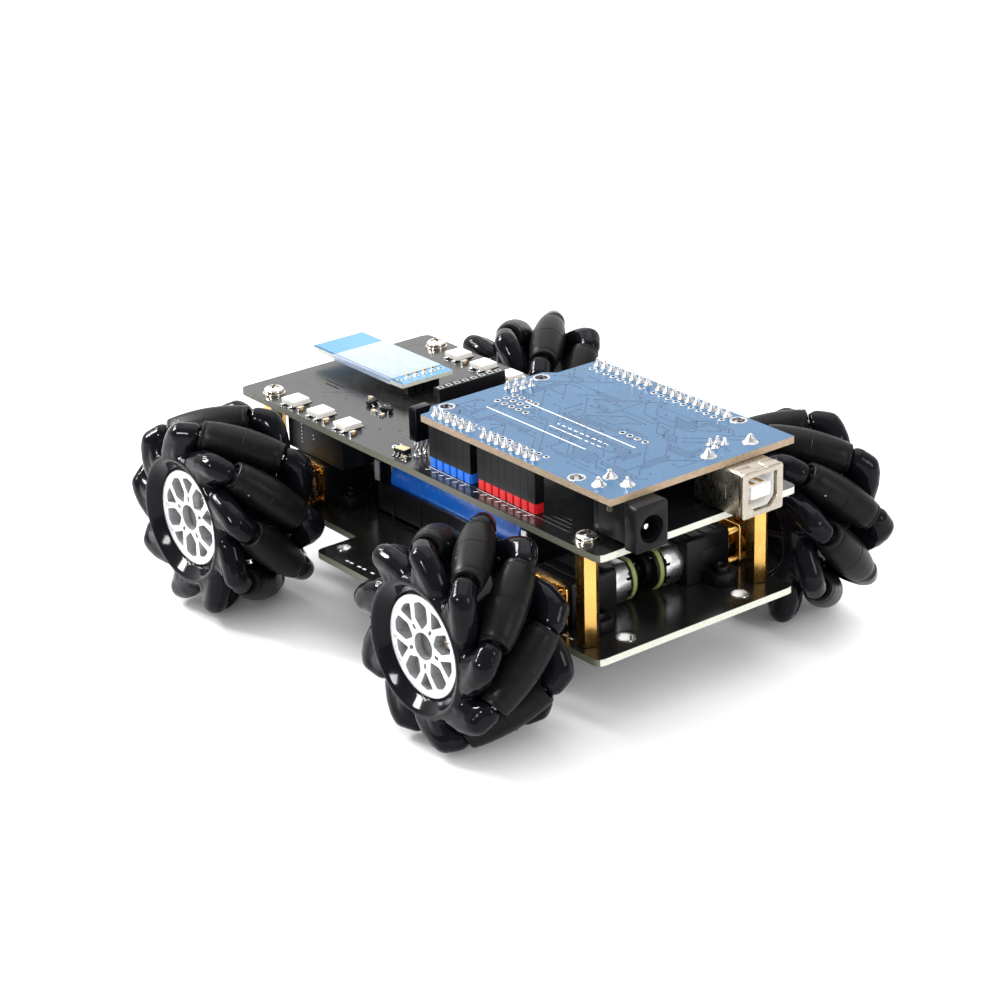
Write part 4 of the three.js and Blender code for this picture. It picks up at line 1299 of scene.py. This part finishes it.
def gear_outline(radius, teeth, depth=0.35):
    tooth = ((0.0, radius - depth), (0.22, radius - depth), (0.4, radius), (0.68, radius))
    return [polar(reach, (k + part) * 360 / teeth) for k in range(teeth) for part, reach in tooth]


def gearmotor(node, x, outward):
    """Flat-sided motor, open gearbox between three brass plates, and the clamp that bolts it down."""
    facing = at(x, 0, 0, 0 if outward > 0 else 180)
    z, front = WHEEL_R, box_mm("gearmotor_front_left")[1].y
    half_w, half_h = MOTOR_HALF_W, MOTOR_HALF_H
    motor = Piece(f"works_{node}", "chassis", "motor_steel")

    def along(outline, y0, y1, material, bevel=0.1, holes=(), shift=(0, 0)):
        matrix = facing @ at(shift[0], 0, z + shift[1]) @ UP_IS_OUTLINE_Y
        motor.slab(outline, list(holes), -y1, -y0, material, bevel, matrix)

    plate = rounded(rectangle(-half_w, -half_h, half_w, half_h), 1.0)
    for y0, y1 in GEARBOX_PLATES:
        along(plate, y0, y1, BRASS, 0.08)
    along(plate, front - 0.85, front, BRASS, 0.08, [circle(1.85, steps=24)])
    for px in (-4.9, 4.9):
        for pz in (-3.6, 3.6):
            along(circle(0.85, px, pz, 18), 24.0, front - 0.8, BRASS, 0.02)
            along(circle(1.25, px, pz, 20), front - 0.02, front + 0.02, STEEL, 0.0)
    for y0, y1, radius, teeth, material, dx, dz in GEARS:
        along(gear_outline(radius, teeth), y0, y1, material, 0.0, (), (dx, dz))
    can = [(px, max(-half_h, min(half_h, pz))) for px, pz in circle(half_w, steps=64)]
    along(can, 5.2, 10.6, CAN, 0.3)
    for side in (-1, 1):                   # crimps that hold the can's end cap
        px = side * 5.6
        for pz in (z - 1.6, z + 1.6):
            # dark box in each crimp slot: painted shade
            motor.box((px - 0.45, 5.1, pz - 0.3), (px + 0.3, 6.3, pz + 0.3), HOLE_SHADE, 0.08, facing)
            motor.post(px - side * 0.2, 5.275, 0.3, 0.225, pz - 1.3, pz + 1.3, BRACKET, 0.08, facing)
    for size, y0, y1, material, bevel in ((0.96, 4.5, 5.3, BRACKET, 0.1), (1, 3.5, 4.6, RING_GREEN, 0.12),
                                          (0.93, 2.85, 3.6, BRACKET, 0.1)):
        along([(px * size, pz * size) for px, pz in can], y0, y1, material, bevel)
    end_boss = [(0, 0.7), (1.4, 0.7), (1.5, 1.4), (3.5, 1.4), (3.9, 1.8), (3.9, 2.9), (0, 2.9)]
    motor.lathe(end_boss, BRACKET, facing @ at(0, 0, z, -90, "X"), 48)
    for px in (-2.9, 2.9):                 # solder terminals
        motor.post(px, 2.95, 0.75, 0.65, z + 3.28, z + 3.52, SOLDER, 0.05, facing)

    base, top = lower_high.z + 0.1, CLAMP_TOP
    clamp = [(-7, base, 0.2), (7, base, 0.2), (7, top, 1.5), (-7, top, 1.5)]
    motor.slab(rounded(clamp, 1.0), [], -23.3, -10.4, BRACKET, 0.25, facing @ UP_IS_OUTLINE_Y)
    feet = rectangle(-EAR_X - EAR_R, EAR_Y - EAR_R, EAR_X + EAR_R, EAR_Y + EAR_R)
    motor.slab(rounded(feet, EAR_R, 8), [], base, base + EAR_T, BRACKET, 0.2, facing)
    bolt = [(0, 0), (2.0, 0), (2.0, 1.2), (1.2, 1.25), (1.0, 0.6), (0, 0.6)]
    for side in (-1, 1):
        motor.lathe(bolt, DARK_STEEL, facing @ at(side * EAR_X, EAR_Y, base + EAR_T - 0.05), 28)
        motor.post(side * 6.9, EAR_Y, 0.2, 3.5, base + 2.0, top - 3.5, BRACKET, 0.15, facing)
    for y in (13.2, 16.8, 20.4):           # ribs over the clamp's crown
        motor.post(0, y, 5.6, 0.4, top - 0.1, top + 0.18, BRACKET, 0.1, facing)
    motor.finish([node])


def gearmotors():
    for end in ENDS:
        x = joint(f"wheel_{end}_left_spin")["pos_m"][0] / MM
        for side, outward in SIDES.items():
            gearmotor(f"gearmotor_{end}_{side}", x, outward)


# ---- floor, light and camera ----
CAMERA_AT = Vector((0.45567, -0.35792, 0.27406))
AZIMUTH, ELEVATION, ROLL = 52.097, 23.044, -1.566


def camera():
    """Camera at the photo's own place, lens and roll."""
    data = bpy.data.cameras.new("camera")
    data.sensor_width = 36
    data.lens = 95.88
    data.clip_start = 0.01
    made = linked("camera", data)
    azimuth, elevation = math.radians(AZIMUTH), math.radians(ELEVATION)
    back = Vector((math.sin(azimuth) * math.cos(elevation), -math.cos(azimuth) * math.cos(elevation),
                   math.sin(elevation)))
    right = Vector((0, 0, 1)).cross(back).normalized()
    turned = Matrix((right, back.cross(right), back)).transposed().to_4x4()
    made.matrix_world = Matrix.Translation(CAMERA_AT) @ turned @ Matrix.Rotation(math.radians(ROLL), 4, "Z")
    bpy.context.scene.camera = made


def area_light(name, place_at, aim, size, power, diffuse=True, glossy=True):
    """Rectangular light, which may be left out of diffuse light or out of reflections."""
    data = bpy.data.lights.new(name, "AREA")
    data.shape = "RECTANGLE"
    data.size, data.size_y = size
    data.energy = power
    made = linked(name, data)
    direction = Vector(aim) - Vector(place_at)
    made.matrix_world = Matrix.Translation(place_at) @ direction.to_track_quat("-Z", "Y").to_matrix().to_4x4()
    made.visible_diffuse = diffuse
    made.visible_glossy = glossy


def studio():
    """White table and surround, brightest behind the robot, and the boxes that light it."""
    world = bpy.data.worlds.new("studio")
    bpy.context.scene.world = world
    world.use_nodes = True
    tree = world.node_tree
    background = preset(tree.nodes["Background"], Color=(1, 1, 1, 1))
    coordinates = tree.nodes.new("ShaderNodeTexCoord")
    facing = tree.nodes.new("ShaderNodeVectorMath")
    facing.operation = "DOT_PRODUCT"
    facing.inputs[1].default_value = (-0.72, 0.57, 0.39)
    ramp = preset(tree.nodes.new("ShaderNodeMapRange"), From_Min=-0.3, From_Max=0.8, To_Min=0.55, To_Max=1.75)
    tree.links.new(coordinates.outputs["Generated"], facing.inputs[0])
    tree.links.new(facing.outputs["Value"], ramp.inputs["Value"])
    tree.links.new(ramp.outputs["Result"], background.inputs["Strength"])

    area_light("top_box", (-0.1, 0.2, 1.1), (0, 0, 0), (1.2, 1.0), 6)
    area_light("key_box_a", (-0.60, -0.34, 0.55), (0, 0, 0), (0.1, 0.22), 3.2)
    area_light("key_box_b", (-0.68, -0.16, 0.55), (0, 0, 0), (0.1, 0.22), 3.2)
    area_light("shine_box_a", (-0.46, -0.46, 0.5), (0, 0, 0), (0.14, 0.3), 16, diffuse=False)
    area_light("shine_box_b", (0.1, -0.75, 0.42), (0, 0, 0), (0.16, 0.12), 5, diffuse=False)
    area_light("fill_box", (0.7, -0.5, 0.6), (0.08, -0.02, 0), (0.8, 0.8), 4.5, glossy=False)
    area_light("end_box", (0.85, 0.2, 0.4), (0.05, 0, 0.02), (0.25, 0.35), 2.5)
    bpy.context.scene.view_settings.view_transform = "Standard"

    paint = Paint("table_white", (0.93, 0.93, 0.94), 0.55)
    paint.mix(paint.spread(paint.noise(0.002, 2), 0.0, 1.0), (0.9, 0.9, 0.91))
    bm = bmesh.new()
    bmesh.ops.create_grid(bm, x_segments=8, y_segments=8, size=3.0)
    mesh = bpy.data.meshes.new("table")
    bm.to_mesh(mesh)
    bm.free()
    mesh.materials.append(paint.material)
    table = linked("table", mesh)


camera()
wheels()
chassis_plates()
block_under_deck()
standoffs()
deck_parts()
wireless_module()
controller_board()
header_strips()
barrel_jack()
usb_socket()
battery()
gearmotors()
studio()
